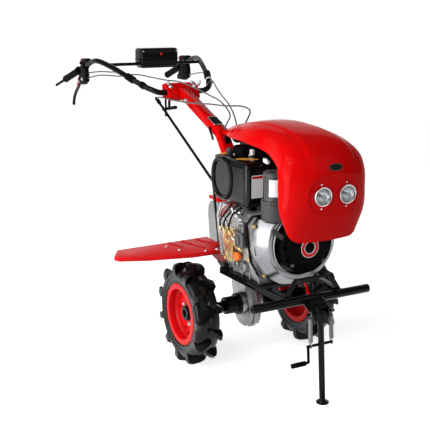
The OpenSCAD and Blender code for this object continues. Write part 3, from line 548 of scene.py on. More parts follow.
# Lug round the wheel: set back in the middle, swept forward outward, hooked at the shoulder; half thickness
LUG_BACK, LUG_SWEEP, LUG_HOOK = 0.016, 0.034, 0.004
LUG_HALF, LUG_TAPER, LUG_THIN = 0.0145, 0.0045, 0.003
SHOULDER_R = 0.17
# Wheel nuts and valve: angle, distance from the axle and from the wheel's middle plane
NUT_COUNT, NUT_ANGLE, NUT_RING, NUT_OUT, NUT_SIZE = 5, 0.3, 0.044, 0.006, 0.013
VALVE_ANGLE, VALVE_RING, VALVE_OUT = 2.4, 0.084, 0.004
HUB_ROWS = [(0.0096, 0.028), (0.021, 0.028), (0.023, 0.026), (0.023, 0.0165), (0.021, 0.0148),
            (0.0151, 0.0148)]
VALVE_ROWS = [(-0.004, 0.006), (0.002, 0.006), (0.004, 0.0042), (0.020, 0.004), (0.0205, 0.005),
              (0.028, 0.0048), (0.029, 0.003)]


def lug_point(y, r, turn, flank, hand):
    """Point of a lug's outline on its front or rear flank, on one half of the tread."""
    hook = LUG_HOOK * step(0.046, HALF_W, y) * (r < SHOULDER_R)
    sweep = -LUG_BACK + LUG_SWEEP * step(-0.006, 0.040, y) - hook
    thick = LUG_HALF - LUG_TAPER * step(0.165, TOP_R, r) - LUG_THIN * step(0.012, -0.006, y)
    a = turn + (sweep + flank * thick) / r
    return Vector((math.sin(a) * r, hand * y, math.cos(a) * r))


def tyre_shape(side):
    s = Shape()
    profile = CARCASS + [(-d, r) for d, r in CARCASS[-2::-1]]
    s.turned((0, 0, 0), LEFT, profile, 72, close=True)
    n = len(LUG)
    faces = [tuple(range(n)), tuple(range(2 * n - 1, n - 1, -1))]
    faces += [(j, n + j, n + (j + 1) % n, (j + 1) % n) for j in range(n)]
    for k in range(LUG_COUNT):
        for hand in (-1, 1):
            turn = 2 * math.pi * (k + (0.5 if hand > 0 else 0)) / LUG_COUNT
            verts = [lug_point(y, r, turn, flank, hand) for flank in (-1, 1) for y, r in LUG]
            s.put(verts, faces if hand > 0 else [tuple(reversed(q)) for q in faces])
    centre = P(0, side * WHEEL_Y, TYRE_R)
    s.v = [Vector((v.x + centre.x, side * v.y + centre.y, v.z + centre.z)) for v in s.v]
    if side < 0:
        s.f = [list(reversed(q)) for q in s.f]
    return s


def rim_details(side, body, tag):
    """Wheel nuts on the disc, hub ring and a valve stem."""
    nuts, hub, valve = shapes(3)
    out = Vector((0, side, 0))
    centre = P(0, side * WHEEL_Y, TYRE_R)
    for a in around(NUT_COUNT):
        nuts.bolt(centre + out * NUT_OUT + spoke(a + NUT_ANGLE) * NUT_RING, out, NUT_SIZE)
    hub.turned(centre, out, HUB_ROWS, 40, close=True)
    valve.turned(centre + out * VALVE_OUT + spoke(VALVE_ANGLE) * VALVE_RING, out, VALVE_ROWS, 16)
    nuts.done("wheel_nuts_" + tag, "bright_steel", body=body)
    hub.done("hub_ring_" + tag, "black_paint", body=body, slot="black_paint")
    valve.done("valve_" + tag, "rubber", body=body, slot="rubber")


for side, tag in ((-1, "right"), (1, "left")):
    body = "wheel_" + tag
    tyre_shape(side).done("tyre_" + tag + "_lugged", "tyre", body=body, slot="tyre",
                          replaces=["tyre_" + tag], angle=42, bevel=0.0022)
    rim_details(side, body, tag)


# Stand: coil springs with hooked ends in place of the plain ones
SPRING_Y, SPRING_TURNS, SPRING_STEPS, COIL_R, WIRE_R = 44, 24, 14, 0.0067, 0.0016
# Along the leg from the pin: end of the upper hook, coil's start and length, lower eye and its reach
HOOK_END, COIL_START, COIL_LEN, LOW_EYE, LOW_REACH = 0.011, 0.014, 0.088, 0.114, 0.009
HOOK_R, LOW_HOOK_R = 0.0085, 0.0075
HOOK_ANGLES = [math.radians(d) for d in range(-150, 151, 20)]


def make_springs():
    s = Shape()
    lean = math.atan2(FOOT_LEAD, PIVOT_Z)
    down = Vector((math.sin(lean), 0, -math.cos(lean)))
    fore = Vector((math.cos(lean), 0, math.sin(lean)))
    steps = SPRING_TURNS * SPRING_STEPS
    for y in (-SPRING_Y, SPRING_Y):
        top = P(PIVOT_X, y, PIVOT_Z)
        low = top + down * LOW_EYE
        pts = [top + (fore * math.sin(a) - down * math.cos(a)) * HOOK_R for a in HOOK_ANGLES]
        pts += [top + down * HOOK_END]
        for k in range(steps + 1):
            a = 2 * math.pi * k / SPRING_STEPS
            pts.append(top + down * (COIL_START + COIL_LEN * k / steps)
                       + (fore * math.cos(a) + LEFT * math.sin(a)) * COIL_R)
        pts += [low - down * LOW_REACH]
        pts += [low + (fore * math.sin(a) + down * math.cos(a)) * LOW_HOOK_R for a in HOOK_ANGLES]
        s.tube(pts, WIRE_R, 6)
    s.done("stand_coil_springs", "cast_case", body="stand", slot="zinc", replaces=["stand_springs"])


make_springs()


# Grips: ribbed rubber with a rounded end, and the bare rod in the right one
SLEEVE_START, SLEEVE_SPARE, ROD_START = 112, 6, 4
SLEEVE_R, RIB_COUNT, RIB_DEPTH, RIB_START, RIB_MARGIN = 0.017, 26, 0.0013, 0.012, 0.030


def make_grips():
    rubber, rod = shapes(2)
    end = (GRIP_LEN + SLEEVE_SPARE - SLEEVE_START) / 1000
    pitch = (end - RIB_MARGIN) / RIB_COUNT
    r, low = SLEEVE_R, SLEEVE_R - RIB_DEPTH
    rows = [(0, 0.0129), (0, 0.0195), (0.003, 0.0205), (0.007, 0.0205), (0.009, 0.0182)]
    for k in range(RIB_COUNT):
        t = RIB_START + (end - RIB_MARGIN) * k / RIB_COUNT
        rows += [(t, low), (t + pitch * 0.2, r), (t + pitch * 0.7, r), (t + pitch * 0.9, low)]
    rows += [(end - 0.016, r + 0.001), (end - 0.008, r + 0.0008), (end - 0.003, r - 0.003), (end, 0.009)]
    rod_rows = [(0, 0.007), (0.138, 0.007), (0.143, 0.006), (0.1455, 0.0035)]
    base = GRIP_FOOT + GRIP_DIR * SLEEVE_START
    tip = GRIP_FOOT + GRIP_DIR * (GRIP_LEN + ROD_START)
    for side in (-1, 1):
        d = Vector((GRIP_DIR.x, side * GRIP_DIR.y, GRIP_DIR.z))
        rubber.turned(P(base.x, side * base.y, base.z), d, rows, 28)
        if side < 0:
            rod.turned(P(tip.x, -tip.y, tip.z), d, rod_rows, 20)
    rubber.done("grip_sleeves", "rubber", slot="rubber", replaces=["grips"], angle=30)
    rod.done("grip_rod", "black_plastic", slot="black_paint")


make_grips()


# Recoil cover: plain printed ring with pale borders, screws, the pull handle and its cord
PRINT_DROP, PRINT_T = 6, 0.0009
COVER_SCREW_R, COVER_SCREW_X, COVER_SCREW_SIZE = 92, RECOIL_FACE_X - 10, 0.011
PULL_CORD = [(402, -72, 570), (400, -50, 556), (392, -34, 548)]


def make_recoil():
    ring, pale, screws, grip, cord = shapes(5)
    centre = P(RECOIL_FACE_X, 0, CRANK_Z - PRINT_DROP)
    for shape, r0, r1 in ((ring, 0.0225, 0.0345), (pale, 0.0205, 0.0225), (pale, 0.0345, 0.0365)):
        shape.turned(centre, FORE, [(0, r0), (PRINT_T, r0), (PRINT_T, r1), (0, r1)], 56, close=True)
    for turn in (45, 135, 225, 315):
        a = math.radians(turn)
        y, z = math.sin(a) * COVER_SCREW_R, CRANK_Z + math.cos(a) * COVER_SCREW_R
        screws.bolt(P(COVER_SCREW_X, y, z), FORE, COVER_SCREW_SIZE)
    grip.plate(rounded(0.088, 0.018, 0.007), P(396, -106, 594), Vector((0, 0.82, -0.57)),
               Vector((0, 0.57, 0.82)), 0.012)
    cord.tube(path(PULL_CORD, 5), 0.0026, 8)
    grip.done("recoil_handle", "grey_plastic", slot="black_plastic", bevel=0.003)
    cord.done("recoil_cord", "rubber", slot="rubber")
    ring.done("recoil_ring", "red_plastic")
    pale.done("recoil_ring_borders", "paper")
    screws.done("recoil_screws", "dark_steel")


make_recoil()


# Fuel tank: pressed oval with its panel on the right side, a plain label and plain stickers
LABEL_T, BAND_T, OVAL_POWER = 0.0006, 0.0003, 2.3


def make_tank():
    bead, panel, label, band, amber = shapes(5)
    centre = P(56, -TANK_W / 2, TANK_Z + TANK_H / 2 + 2)
    bead.loop([centre + FORE * a + UP * b for a, b in oval(0.142, 0.147, 64, OVAL_POWER)], 0.0100, 14)
    panel.plate(oval(0.126, 0.130, 48, OVAL_POWER), centre + LEFT * 0.001, FORE, UP, 0.0022)
    front = P(TANK_X + TANK_L, -102, 735)
    label.plate(rounded(0.048, 0.084, 0.003), front, LEFT, UP, LABEL_T)
    band.plate(rounded(0.044, 0.009, 0.001), front + UP * 0.034 + FORE * LABEL_T, LEFT, UP, BAND_T)
    amber.plate(oval(0.085, 0.036), P(140, -92, TANK_TOP), Vector((0.55, 0.83, 0)),
                Vector((-0.83, 0.55, 0)), LABEL_T)
    amber.plate(rounded(0.030, 0.050, 0.004), P(-2, -100, TANK_TOP), FORE, LEFT, LABEL_T)
    bead.done("tank_oval", "black_paint", slot="black_gloss")
    panel.done("tank_oval_panel", "black_gloss", slot="black_gloss", bevel=FINE_BEVEL)
    label.done("tank_label", "paper")
    band.done("tank_label_band", "red_plastic")
    amber.done("tank_stickers", "amber")


make_tank()


# Above the tank: ribbed fuel cap, bleed neck, hood rail and the lamp wiring with its connectors
CAP_X, CAP_Y, CAP_STEPS, CAP_RIB = 53, -62, 72, 0.0015
# Cap: height, radius, depth of the grooves
CAP_ROWS = [(0.000, 0.030, 0), (0.008, 0.030, 0), (0.008, 0.038, CAP_RIB), (0.029, 0.037, CAP_RIB),
            (0.034, 0.034, 0), (0.0345, 0.012, 0)]
NECK_ROWS = [(0, 0.012), (0.004, 0.014), (0.016, 0.014), (0.017, 0.010), (0.022, 0.010), (0.024, 0.007)]
LOOM = [(-120, -20, 880), (-60, -30, 852), (0, -18, 866), (90, -26, 858), (180, -30, 846), (250, -50, 836),
        (300, -60, 850), (370, -50, 842), (470, -40, 812), (520, -30, 780)]
LOOM_BRANCH = [(60, -22, 862), (110, -34, 840), (160, -40, 834), (226, -62, 828), (262, -70, 836)]


def make_tank_top():
    cap, neck, rail, loom, plug = shapes(5)
    n, m = CAP_STEPS, len(CAP_ROWS)
    verts = [P(CAP_X, CAP_Y, TANK_TOP) + UP * h
             + Vector((math.cos(a), math.sin(a), 0)) * (r - rib * (k % 3 == 0))
             for h, r, rib in CAP_ROWS for k, a in enumerate(around(n))]
    cap.put(verts, ring_faces(m, n) + end_faces(m, n)[1:])
    neck.turned(P(12, -96, TANK_TOP), UP, NECK_ROWS, 24)
    rail.plate(rounded(0.290, 0.044, 0.008), P(95, -14, TANK_TOP + 22), FORE, UP, 0.004)
    rail.plate(rounded(0.290, 0.030, 0.004), P(95, 0, TANK_TOP), FORE, LEFT, 0.004)
    loom.tube(path(LOOM), 0.0065, 10)
    loom.tube(path(LOOM_BRANCH), 0.0045, 8)
    plug.plate(rounded(0.034, 0.024, 0.003), P(94, -42, TANK_TOP + 14), Vector((1, 0, 0.2)), UP, 0.012)
    plug.plate(rounded(0.030, 0.016, 0.003), P(243, -66, TANK_TOP + 9), Vector((1, 0, -0.1)), UP, 0.012)
    cap.done("fuel_cap_ribbed", "black_plastic", slot="black_plastic", replaces=["fuel_cap"], angle=50)
    neck.done("tank_vent", "grey_plastic", slot="black_plastic")
    rail.done("hood_rail", "black_paint", slot="black_paint", bevel=0.001)
    loom.done("lamp_loom", "rubber", slot="rubber")
    plug.done("lamp_connectors", "paper", bevel=0.0015)


make_tank_top()


# Air cleaner: clamp band, cap and a plain label on the round side
LABEL_FROM, LABEL_TO, LABEL_STEPS = math.radians(-62), math.radians(8), 14
LABEL_LOW, LABEL_HIGH, CAN_TAPER = 0.088, 0.148, 0.008


def make_air_cleaner():
    band, label, cap = shapes(3)
    base = P(CAN_X, CAN_Y, CAN_Z)
    r = CAN_R / 1000
    band.turned(base, UP, [(0.050, r), (0.050, r + 0.0015), (0.058, r + 0.0015), (0.058, r)], 48,
                close=True)
    cap.turned(base, UP, [(0.156, r - 0.008), (0.157, r - 0.004), (0.168, r - 0.004), (0.172, r - 0.009),
                          (0.173, 0.006)], 48)
    n, m = LABEL_STEPS, LABEL_STEPS + 1
    angles = [LABEL_FROM + (LABEL_TO - LABEL_FROM) * k / n for k in range(m)]
    pts = [base + Vector((math.cos(a) * (r - CAN_TAPER + t), math.sin(a) * (r - CAN_TAPER + t), z))
           for t in (0.0, LABEL_T) for z in (LABEL_LOW, LABEL_HIGH) for a in angles]
    faces = [(2 * m + k, 2 * m + k + 1, 3 * m + k + 1, 3 * m + k) for k in range(n)]
    faces += [(k, m + k, m + k + 1, k + 1) for k in range(n)]
    faces += [(k, k + 1, 2 * m + k + 1, 2 * m + k) for k in range(n)]
    faces += [(m + k, 3 * m + k, 3 * m + k + 1, m + k + 1) for k in range(n)]
    faces += [(0, 2 * m, 3 * m, m), (n, m + n, 3 * m + n, 2 * m + n)]
    label.put(pts, faces)
    band.done("air_cleaner_band", "grey_plastic", slot="black_plastic")
    cap.done("air_cleaner_cap", "grey_plastic", slot="black_plastic")
    label.done("air_cleaner_label", "paper")


make_air_cleaner()


# Engine: governor arm with its spring, shroud gasket, a bright lip painted as the highlight round the
# shroud's opening, casting mark, fuel unions, bolts, injection lines, fuel hoses, wires and case bosses
GOVERNOR = [(0.0, -0.010), (0.030, -0.016), (0.066, -0.006), (0.072, 0.004), (0.062, 0.012), (0.030, 0.008),
            (0.004, 0.012), (-0.006, 0.002)]
GOVERNOR_TURNS, GOVERNOR_STEPS, GOVERNOR_COIL_R = 10, 9, 5
# Bolts on the shroud: y, z; on the case and on its cover: x, z
SHROUD_BOLT_X, SHROUD_BOLTS = SHROUD_X + 22, ((-167, 618), (-121, 430), (121, 430), (167, 618))
CASE_BOLT_Y, CASE_BOLTS = -152, ((122, 482), (268, 478), (272, 585), (124, 584))
COVER_BOLT_Y, COVER_BOLTS = -183, ((148, 458), (150, 560), (206, 572))
# Injection lines: x at the lower and the upper end; hoses: x at both ends, z of the bend
LINES = ((258, 226), (234, 190), (246, 160))
HOSES = ((102, 105, 613), (133, 142, 622), (172, 183, 637))
# Unions and bosses: x, y, z, radius in metres
UNIONS = ((213, -158, 620, 0.008), (180, -156, 618, 0.007), (232, -164, 600, 0.009),
          (150, -154, 620, 0.006))
BOSSES = ((72, -162, 556, 0.016), (210, -143, 430, 0.02), (160, -143, 430, 0.015))
WIRES = ([(40, -140, 560), (46, -152, 590), (60, -150, 618), (84, -146, 634), (100, -120, 650)],
         [(50, -140, 548), (62, -156, 574), (76, -152, 610), (96, -148, 626), (120, -126, 648)])
LINE_R, HOSE_R, WIRE_SHEATH_R = 0.0032, 0.0033, 0.0026


def make_governor():
    arm, spring = shapes(2)
    arm.plate(GOVERNOR, P(184, -172, 532), Vector((0.93, 0, -0.36)), Vector((0.36, 0, 0.93)), 0.004)
    arm.turned(P(206, -172, 524), RIGHT, [(0, 0.009), (0.010, 0.009), (0.012, 0.006), (0.018, 0.006)], 18)
    arm.turned(P(238, -172, 514), RIGHT, [(0, 0.007), (0.007, 0.007), (0.009, 0.004)], 6)
    coil, steps = [], GOVERNOR_TURNS * GOVERNOR_STEPS
    for k in range(steps + 1):
        a = 2 * math.pi * k / GOVERNOR_STEPS
        coil.append(P(196 + 46 * k / steps, -184 + GOVERNOR_COIL_R * math.cos(a),
                      548 - 10 * k / steps + GOVERNOR_COIL_R * math.sin(a)))
    spring.tube(coil, 0.0011, 6)
    arm.done("governor_arm", "zinc", slot="zinc", bevel=FINE_BEVEL)
    spring.done("governor_spring", "bright_steel", slot="zinc")


def make_shroud_trim():
    gasket, lip_highlight_and_mark = shapes(2)
    outline = [(y * 1.008 / 1000, z / 1000) for y, z in SHROUD_FLANK]
    gasket.plate(outline, P(SHROUD_X - 8, 0, 0), LEFT, UP, 0.009)
    # Painted highlight: a thin ring of bright cast metal round the shroud's opening stands for the light on its
    # edge.
    lip_highlight_and_mark.loop([P(SHROUD_LIP_X, SHROUD_LIP_R * math.cos(a), CRANK_Z + SHROUD_LIP_R * math.sin(a))
              for a in around(72)], 0.0022, 8)
    # Blank casting mark on the shroud's right flank
    wide, tall = Vector((-0.72, -0.69, 0.10)).normalized(), Vector((0, -0.15, 0.99)).normalized()
    mark = P(343, -162, 526)
    lip_highlight_and_mark.loop([mark + wide * a + tall * b for a, b in rounded(0.026, 0.034, 0.003)], 0.0014, 6)
    gasket.done("shroud_gasket", "black_paint", slot="black_paint")
    lip_highlight_and_mark.done("shroud_lip_highlight_and_mark", "cast_bright", slot="cast_case")


def make_engine():
    unions, bolts, lines, hoses, wires, bosses = shapes(6)
    for y, z in SHROUD_BOLTS:
        bolts.bolt(P(SHROUD_BOLT_X, y, z), FORE, 0.015)
    for x, z in CASE_BOLTS:
        bolts.bolt(P(x, CASE_BOLT_Y, z), RIGHT, 0.012)
    for x, z in COVER_BOLTS:
        bolts.bolt(P(x, COVER_BOLT_Y, z), RIGHT, 0.011)
    for k, (x0, x1) in enumerate(LINES):
        points = [(x0, -170, 612 - 8 * k), (x0 - 4, -172, 628), (x1 + 12, -168 + 3 * k, 640 - 4 * k),
                  (x1, -158 + 4 * k, 632), (x1 - 10, -150, 640), (x1 - 14, -140, 652)]
        lines.tube(path(points, 5), LINE_R, 10)
    for x0, x1, z in HOSES:
        hoses.tube(path([(x0, -183, 566), (x0 - 3, -182, 588), (x1 - 6, -174, z - 14), (x1, -165, z),
                         (x1 + 10, -140, 652)]), HOSE_R, 10)
        bolts.turned(P(x0, -183, 556), UP, [(0, 0.0055), (0.010, 0.0055), (0.012, 0.004)], 14)
    for points in WIRES:
        wires.tube(path(points), WIRE_SHEATH_R, 8)
    for x, y, z, r in BOSSES:
        bosses.turned(P(x, y, z), RIGHT, [(-0.02, r), (0.004, r), (0.006, r - 0.002), (0.006, r * 0.5),
                                          (0.003, r * 0.45)], 28)
    for x, y, z, r in UNIONS:
        unions.turned(P(x, y, z), Vector((0, -0.25, 1)),
                      [(0, r), (0.010, r), (0.011, r * 0.7), (0.020, r * 0.7), (0.021, r * 0.95),
                       (0.027, r * 0.9)], 6)
    unions.done("fuel_unions", "bright_steel", slot="zinc")
    bolts.done("engine_bolts", "zinc", slot="zinc")
    lines.done("injection_lines", "dark_steel", slot="dark_steel")
    hoses.done("fuel_hoses", "rubber", slot="rubber")
    wires.done("engine_wires", "dark_red")
    bosses.done("case_bosses", "cast_case", slot="cast_case")


make_governor()
make_shroud_trim()
make_engine()


# Control box: rounded shell, seam, pale lower tray, warning lamp and screws
BOX_EDGE, BOX_EDGE_STEPS, BOX_CORNER, SEAM_CORNER, SEAM_R = 0.013, 6, 0.014, 0.012, 0.0012
BOX_SCREW_ROWS = [(0, 0.0035), (0.001, 0.0035), (0.0016, 0.002)]
BOX_LAMP_ROWS = [(0, 0.0052), (0.002, 0.0052), (0.0042, 0.0035), (0.005, 0.001)]


def make_control_box():
    shell, seam, tray, led, screws = shapes(5)
    deep, wide, tall = BOX_DEEP / 1000, BOX_WIDE / 1000, BOX_TALL / 1000
    # Upper half of the shell from the middle to the top: height, inset
    upper = [(tall / 2 - BOX_EDGE + BOX_EDGE * math.sin(a), BOX_EDGE * (1 - math.cos(a)))
             for a in (math.pi / 2 * k / BOX_EDGE_STEPS for k in range(BOX_EDGE_STEPS + 1))]
    rows = [(-h, inset) for h, inset in reversed(upper)] + upper
    rings = [[P(BOX_X, 0, BOX_Z + h * 1000) + Vector((a, b, 0))
              for a, b in rounded(deep - 2 * inset, wide - 2 * inset, BOX_CORNER, 8)] for h, inset in rows]
    m, n = len(rings), len(rings[0])
    shell.put(sum(rings, []), ring_faces(m, n) + end_faces(m, n))
    shell.done("control_box_shell", "black_paint", slot="black_plastic", replaces=["control_box"], angle=40)
    for drop in (6, 9):
        seam.loop([P(BOX_X + a * 1000, b * 1000, BOX_Z - drop)
                   for a, b in rounded(deep, wide, SEAM_CORNER, 8)], SEAM_R, 8)
    tray.plate(rounded(0.074, 0.176, 0.010, 8), P(BOX_X, 0, BOX_Z - 46.5), FORE, LEFT, 0.003)
    led.turned(P(BOX_X + BOX_DEEP / 2, 6, BOX_Z + 17), FORE, BOX_LAMP_ROWS, 20)
    for y in (-84, 84):
        screws.turned(P(BOX_X + BOX_DEEP / 2, y, BOX_Z + 30), FORE, BOX_SCREW_ROWS, 12)
    seam.done("control_box_seam", "black_plastic", slot="black_plastic")
    tray.done("control_box_tray", "grey_plastic", slot="black_plastic", bevel=0.0008)
    led.done("control_box_lamp", "red_plastic", slot="red_plastic")
    screws.done("control_box_screws", "bright_steel")


make_control_box()


# Handlebar fittings: tube clamps, lever pivots, knobs, cable adjuster, tape, red lever pad and wire guard
CLAMP_ROWS = [(-0.024, 0.0135), (-0.022, 0.0165), (0.022, 0.0165), (0.024, 0.0135)]
SMALL_CLAMP_ROWS = [(-0.012, 0.0130), (-0.010, 0.0155), (0.010, 0.0155), (0.012, 0.0130)]
KNOB_ROWS = [(0, 0.005), (0.012, 0.005), (0.013, 0.010), (0.019, 0.0115), (0.025, 0.010), (0.027, 0.004)]
ADJUSTER_ROWS = [(0, 0.0035), (0.012, 0.0035), (0.012, 0.006), (0.020, 0.006), (0.020, 0.0042),
                 (0.062, 0.0042), (0.062, 0.0058), (0.070, 0.0058)]
TAPE_ROWS = [(-0.006, 0.0050), (0.002, 0.0078), (0.012, 0.0084), (0.018, 0.0070), (0.024, 0.0052)]
BAND_ROWS = [(-0.004, 0.0132), (-0.0036, 0.0144), (0.0036, 0.0144), (0.004, 0.0132)]
KNOB_ALONG, GUARD_LONG, GUARD_TALL, GUARD_R = 88, 34, 16, 0.0011
# Lever bolts: x, z, size
LEVER_BOLT_Y, LEVER_BOLTS = 279.5, ((-1150, 1010, 0.014), (-1208, 995, 0.012))


def make_fittings():
    steel, black, red, wire, tape = shapes(5)
    knob = GRIP_FOOT + GRIP_DIR * KNOB_ALONG
    for side in (-1, 1):
        out = Vector((0, side, 0))
        black.turned(P(-742, side * 193, 1044), Vector((-0.82, side * 0.34, 0.36)), CLAMP_ROWS, 24)
        black.turned(P(-668, side * 165, 1018), Vector((-0.75, side * 0.4, 0.4)), SMALL_CLAMP_ROWS, 24)
        for x, z, size in LEVER_BOLTS:
            steel.bolt(P(x, side * LEVER_BOLT_Y, z), out, size)
        black.turned(P(knob.x, side * (knob.y - 4), knob.z + 10), UP, KNOB_ROWS, 20)
    steel.turned(P(-806, -206, 1060), Vector((-0.94, -0.25, 0.05)), ADJUSTER_ROWS, 12)
    tape.turned(P(-632, 92, 1013), Vector((0.1, 0.25, 1)), TAPE_ROWS, 18)
    tape.turned(P(-688, 173, 1026.5), Vector((-0.78, 0.4, 0.4)), BAND_ROWS, 28, close=True)
    red.plate(rounded(0.010, 0.046, 0.004), P(-1228, -277.2, 992), Vector((1, 0, -0.6)),
              Vector((0.5, 0, 0.86)), 0.0024)
    wire.loop([P(-1150 + GUARD_LONG * math.cos(a), -281, 968 + GUARD_TALL * math.sin(a))
               for a in around(28)], GUARD_R, 6)
    steel.done("handle_fasteners", "bright_steel", slot="zinc")
    black.done("handle_clamps", "black_plastic", slot="black_plastic")
    red.done("lever_pad", "red_plastic", slot="red_plastic")
    tape.done("cable_tape", "paper")
    wire.done("lever_wire_guard", "bright_steel")


make_fittings()


# Column and head: clamp, hinge and foot bolts, blank black plate with a bright edge, and a hook
COLUMN_PLATE = (0.066, 0.040, 0.004)
CLAMP_BOLT_Y, CLAMP_BOLTS = 58, ((-630, 1024.6), (-609, 1012))
FOOT_BOLT_Y, FOOT_BOLT_Z, FOOT_BOLTS = 40, 602, (-222, -134)
COLUMN_HOOK = [(-292, -24, 876), (-284, -30, 868), (-266, -31, 850), (-250, -31, 829)]


def make_column_fittings():
    bolts, plate, trim, hook = shapes(4)
    slope = Vector((-0.94, 0, 0.342)).normalized()
    top = Vector((0.342, 0, 0.94)).normalized()
    face = Vector((0.51, 0, 0.86)).normalized()
    for y in (-CLAMP_BOLT_Y, CLAMP_BOLT_Y):
        for x, z in CLAMP_BOLTS:
            bolts.bolt(P(x, y, z), face, 0.015)
    bolts.bolt(P(-520, -23, 961), RIGHT, 0.018)
    for y in (-FOOT_BOLT_Y, FOOT_BOLT_Y):
        for x in FOOT_BOLTS:
            bolts.bolt(P(x, y, FOOT_BOLT_Z), UP, 0.016)
    base = P(-298, 0, 880.2) + top * 0.019
    plate.plate(rounded(*COLUMN_PLATE), base, slope, RIGHT, 0.004)
    trim.loop([base + slope * a - Vector((0, b, 0)) + top * 0.003
               for a, b in rounded(*COLUMN_PLATE)], 0.0016, 6)
    hook.tube(path(COLUMN_HOOK, 5), 0.0045, 10)
    trim.done("column_plate_edge", "bright_steel", slot="zinc")
    hook.done("column_hook", "black_paint", slot="black_paint")
    bolts.done("column_bolts", "bright_steel", slot="zinc")
    plate.done("column_plate", "black_paint", slot="black_paint", bevel=FINE_BEVEL)


make_column_fittings()


# Frame and fenders: fasteners, and the red gusset and black stay from each fender down to its rail
# Outlines seen from the side: x, z
GUSSET = [(-90, 452), (-60, 397), (-14, 389), (46, 400), (42, 440), (8, 452)]
STAY = [(-16, 390), (40, 366), (66, 378), (86, 408), (44, 402)]
GUSSET_Y, GUSSET_T, PIN_HEAD_Y = 128, 4, 25
FENDER_BOLTS = ((-76, 325), (-13, 300), (44, 215), (44, 168))


def make_frame_fittings():
    bolts, pins, gussets, stays = shapes(4)
    for side in (-1, 1):
        for x, y in FENDER_BOLTS:
            bolts.bolt(P(x, side * y, FENDER_TOP), UP, 0.009)
        for shape, outline, y in ((gussets, GUSSET, GUSSET_Y), (stays, STAY, GUSSET_Y + GUSSET_T)):
            start = -y if side < 0 else y + GUSSET_T
            shape.plate([(x / 1000, z / 1000) for x, z in outline], P(0, start, 0), FORE, UP,
                        GUSSET_T / 1000)
        pins.bolt(P(PIVOT_X, side * PIN_HEAD_Y, PIVOT_Z), Vector((0, side, 0)), 0.018)
    bolts.done("frame_bolts", "bright_steel", slot="zinc")
    pins.done("stand_pin_heads", "black_paint", slot="black_paint")
    # Painted shade: the gussets take a darker red than the fenders' paint.
    gussets.done("fender_gussets", "dark_red", slot="red_paint", bevel=FINE_BEVEL)
    stays.done("rail_stays", "black_paint", slot="black_paint", bevel=FINE_BEVEL)


make_frame_fittings()


# Floor and light: white sweep behind the object, a dim room and four area lights
FLOOR_SIZE, SWEEP_DISTANCE, SWEEP_RADIUS, SWEEP_HEIGHT, SWEEP_STEPS = 12, 7, 1.5, 6, 12
SWEEP_GLOW, ROOM_LIGHT = 0.7, 0.25
# Lights: name, place with x from the axle, height of the target, size, power
LIGHTS = (("key", (0.1, -3.4, 2.6), 0.6, 4.5, 190), ("low", (0.9, -2.6, 0.5), 0.40, 1.6, 42),
          ("fill", (3.2, 1.0, 2.6), 0.6, 3.0, 22), ("glint", (1.0, -2.7, 3.1), 0.8, 0.35, 18))


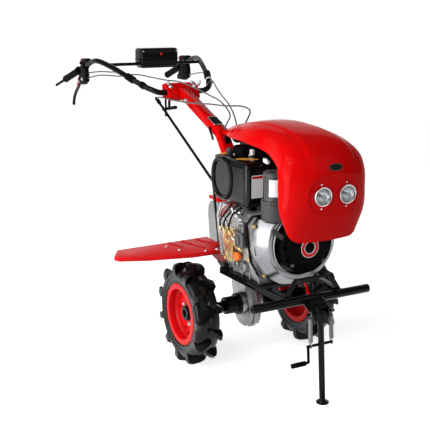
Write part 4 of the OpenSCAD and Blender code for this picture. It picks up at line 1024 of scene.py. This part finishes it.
def white_sweep():
    """Surface that the camera, mirrors and glass see as white, with the object's shadow on it."""
    mat = bpy.data.materials.new("sweep")
    mat.use_nodes = True
    nt = mat.node_tree
    b = nt.nodes["Principled BSDF"]
    b.inputs["Base Color"].default_value = (0.8, 0.8, 0.8, 1)
    b.inputs["Roughness"].default_value = 0.9
    b.inputs["Specular IOR Level"].default_value = 0.0
    glow = nt.nodes.new("ShaderNodeEmission")
    glow.inputs["Strength"].default_value = SWEEP_GLOW
    both = nt.nodes.new("ShaderNodeAddShader")
    nt.links.new(b.outputs[0], both.inputs[0])
    nt.links.new(glow.outputs[0], both.inputs[1])
    rays = nt.nodes.new("ShaderNodeLightPath")
    seen = rays.outputs["Is Camera Ray"]
    for kind in ("Is Glossy Ray", "Is Transmission Ray"):
        either = nt.nodes.new("ShaderNodeMath")
        either.operation = "MAXIMUM"
        nt.links.new(seen, either.inputs[0])
        nt.links.new(rays.outputs[kind], either.inputs[1])
        seen = either.outputs[0]
    mix = nt.nodes.new("ShaderNodeMixShader")
    nt.links.new(seen, mix.inputs[0])
    nt.links.new(b.outputs[0], mix.inputs[1])
    nt.links.new(both.outputs[0], mix.inputs[2])
    nt.links.new(mix.outputs[0], nt.nodes["Material Output"].inputs["Surface"])
    return mat


def make_floor():
    """Floor that curves up into a wall on the far side from the camera."""
    away, side = Vector((math.cos(YAW), math.sin(YAW), 0)), Vector((-math.sin(YAW), math.cos(YAW), 0))
    line = [(-FLOOR_SIZE, 0), (SWEEP_DISTANCE - SWEEP_RADIUS, 0)]
    line += [(SWEEP_DISTANCE + SWEEP_RADIUS * (math.sin(a) - 1), SWEEP_RADIUS * (1 - math.cos(a)))
             for a in (math.pi / 2 * k / SWEEP_STEPS for k in range(1, SWEEP_STEPS + 1))]
    line += [(SWEEP_DISTANCE, SWEEP_HEIGHT)]
    verts = [Vector((AX, 0, h)) + away * d + side * w for d, h in line for w in (-FLOOR_SIZE, FLOOR_SIZE)]
    faces = [(2 * i, 2 * i + 2, 2 * i + 3, 2 * i + 1) for i in range(len(line) - 1)]
    mesh = bpy.data.meshes.new("floor")
    mesh.from_pydata([tuple(v) for v in verts], [], faces)
    mesh.shade_smooth()
    floor = bpy.data.objects.new("floor", mesh)
    scene.collection.objects.link(floor)
    mesh.materials.append(white_sweep())


def make_world():
    world = bpy.data.worlds.new("world")
    scene.world = world
    world.use_nodes = True
    room = world.node_tree.nodes["Background"]
    room.inputs["Color"].default_value = (1, 1, 1, 1)
    room.inputs["Strength"].default_value = ROOM_LIGHT


def area(name, loc, target, size, power):
    """Square light that shines at a target."""
    d = bpy.data.lights.new(name, "AREA")
    d.energy = power
    d.size = size
    o = bpy.data.objects.new(name, d)
    scene.collection.objects.link(o)
    o.location = loc
    o.rotation_euler = (Vector(target) - Vector(loc)).to_track_quat("-Z", "Y").to_euler()


make_floor()
make_world()
for name, (x, y, z), aim, size, power in LIGHTS:
    area(name, (AX + x, y, z), (AX, 0, aim), size, power)
scene.view_settings.view_transform = "Standard"
